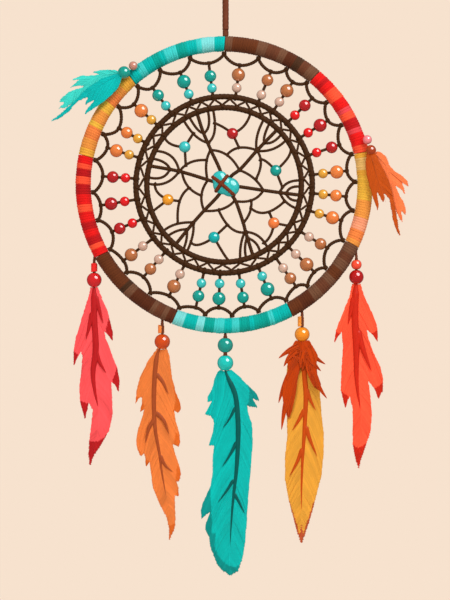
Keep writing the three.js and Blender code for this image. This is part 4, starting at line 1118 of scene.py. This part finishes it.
# ---- The two tufts on the rim. Outlines and shafts are from the second bead's centre.
TUFTS = [
    {"place": "left_tuft", "fixed": (2.9, 0xCE8B77, "rose_brown_bead"), "bead": (4.2, 0x0AA08F, "dark_teal_bead"),
     "slot": "turquoise_feather", "front_colour": 0x00B4AE, "rear_colour": 0x3CCFC0,
     "front_shaft": [-3.5, -2, -12, -6.5, -24, -14, -36, -25, -49, -33],
     "rear_shaft": [-4, -0.5, -14, -2, -25, -6.5, -36, -15, -46, -25.5],
     "front": [-3, -0.6, -5.5, -1.4, -14.5, -4, -24, -10, -32.5, -18.5, -41.5, -27, -49.5, -33, -43, -31, -36.5, -26,
         -30.5, -19.5, -27, -17.5, -24, -17, -26.5, -22.5, -23, -20, -19.5, -18.5, -24, -23.5, -26.5, -28.5,
         -22, -25.5, -14.5, -20.5, -7.5, -14.5, -3, -9, -1.2, -3.2],
     "rear": [-3.4, 0.4, -5.5, 1.8, -14.5, 2, -21.5, 0.5, -16.5, -1, -20.5, -2, -29, -2, -35.5, -5, -30, -4.5,
         -36, -10, -30.5, -8.5, -27, -9, -37, -13, -42, -17, -43.5, -19.5, -39.5, -19.5, -46, -25.5, -43, -24,
         -39, -23.5, -31.5, -18.5, -23.5, -12, -14, -6, -3, -1.6]},
    {"place": "right_tuft", "fixed": (3.1, 0xF9878C, "pink_bead"), "bead": (3.6, 0xAA3C05, "burnt_orange_bead"),
     "slot": "rust_feather", "front_colour": 0xB84A07, "rear_colour": 0xEC7742,
     "front_shaft": [0, -3, 4, -18, 10, -35, 15.5, -47, 20, -58],
     "rear_shaft": [3, -2, 10, -10, 15, -21, 20, -33, 22, -49],
     "front": [-2.8, -2, -3.6, -9, -3, -16, -1, -24, 1.5, -32.5, 3.5, -38, 4.5, -40.5, 5, -35.5, 4, -28, 6, -31,
         8, -35.5, 9, -31, 9, -28.5, 12, -32.5, 13, -38.5, 14.5, -46, 17, -54, 20, -58.5, 18.5, -52, 17.5, -44.5,
         15.5, -34.5, 13, -24, 10, -16, 6, -9, 3, -2],
     "rear": [2.4, -2.4, 3.2, -0.6, 7.5, -1.5, 10.5, -4.5, 13, -10.5, 15.5, -13.5, 21, -17, 24.5, -20.5, 25.5, -25,
         23.5, -23, 21, -21.5, 22.5, -26, 23, -30, 20.5, -26, 16, -23, 19, -29.5, 22.5, -35.5, 23.5, -39.5,
         23.5, -43.5, 20.5, -40, 22, -49.5, 19.5, -46, 18, -43, 15, -35.5, 11, -25.5, 5.5, -13.5]},
]


def darker(colour, share):
    parts = [round(share * ((colour >> shift) & 255)) for shift in (16, 8, 0)]
    return (parts[0] << 16) + (parts[1] << 8) + parts[2]


def make_tuft(look):
    place = look["place"]
    fixed, centre = from_hub(f"{place}_small_bead"), from_hub(f"{place}_bead")
    between = centre - fixed
    for node_name, body, at, key in (("small_bead", "hoop", fixed, "fixed"), ("bead", place, centre, "bead")):
        radius, colour, slot = look[key]
        glaze = bead_material(f"{place}_{node_name}_glaze", colour)
        piece(f"{place}_{node_name}_ball", bead(at, radius, between, 0.9, 30), glaze, body,
              [f"{place}_{node_name}"])
    layers = (("front", -1.5, look["front_colour"]), ("rear", 0.8, look["rear_colour"]))
    for layer, y, colour in layers:
        at, shaft = centre + (0, y, 0), pairs(look[f"{layer}_shaft"])
        shape, tints = vane(pairs(look[layer]), shaft, colour, slope=1.5, bend=0.05, pitch=1.0, wave=0.25, curl=0.5)
        node_names = [f"{place}_feathers"] if layer == "front" else []
        piece(f"{place}_{layer}_vane", moved(shape, at), FEATHER, place, node_names, tints)
        horn = quill_material(f"{place}_{layer}_horn", darker(colour, 0.93))
        quill = moved(shaft_shape(shaft[:3], 0.8, 0.2, 1), at)
        piece(f"{place}_{layer}_shaft", quill, horn, place)


for tuft in TUFTS:
    make_tuft(tuft)


# ---- Floor, lights and the pale surroundings
def make_floor():
    mesh = bpy.data.meshes.new("floor")
    corners = [(x * HALF_FLOOR, y * HALF_FLOOR, FLOOR_HEIGHT) for x, y in ((-1, -1), (1, -1), (1, 1), (-1, 1))]
    mesh.from_pydata(corners, [], [(0, 1, 2, 3)])
    mesh.materials.append(floor_material())
    floor = linked("floor", mesh)
    floor.visible_glossy = False


def make_light(name, kind, direction, energy, distance=1.0, **settings):
    """A light that shines at the object from a direction. Only the key shows in glossy surfaces."""
    data = bpy.data.lights.new(name, kind)
    data.energy = energy
    for key, value in settings.items():
        setattr(data, key, value)
    light = linked(name, data)
    back = Vector(direction).normalized()
    light.location = Vector(LIGHT_AIM) + back * distance
    light.rotation_euler = (-back).to_track_quat("-Z", "Y").to_euler()
    light.visible_glossy = name == "key"


def make_surroundings():
    world = bpy.data.worlds.new("pale")
    bpy.context.scene.world = world
    world.use_nodes = True
    tree = world.node_tree
    output = tree.nodes["World Output"]
    backdrop = tree.nodes["Background"]
    backdrop.inputs["Color"].default_value = linear(0xF7E2CE)
    rays = node(tree, "ShaderNodeLightPath").outputs
    dimmed = {"Value": rays["Is Glossy Ray"], "To Min": 0.34, "To Max": 0.1}
    level = node(tree, "ShaderNodeMapRange", dimmed).outputs["Result"]
    room = node(tree, "ShaderNodeBackground", {"Color": (1, 0.98, 0.96, 1), "Strength": level})
    both = node(tree, "ShaderNodeMixShader", {0: rays["Is Camera Ray"], 1: room.outputs[0], 2: backdrop.outputs[0]})
    tree.links.new(both.outputs[0], output.inputs["Surface"])


make_floor()
make_light("key", "AREA", (0.48, -0.59, 0.655), 8, shape="DISK", size=0.85)
make_light("back", "AREA", (-0.5, 1.0, 0.6), 7, 1.2, shape="DISK", size=0.7)
make_light("front_sun", "SUN", (-0.45, -1.0, 0.3), 1.65, angle=math.radians(25))
make_light("back_sun", "SUN", (0.5, 1.0, 0.2), 0.8, angle=math.radians(25))
make_surroundings()
bpy.context.scene.view_settings.view_transform = "Standard"
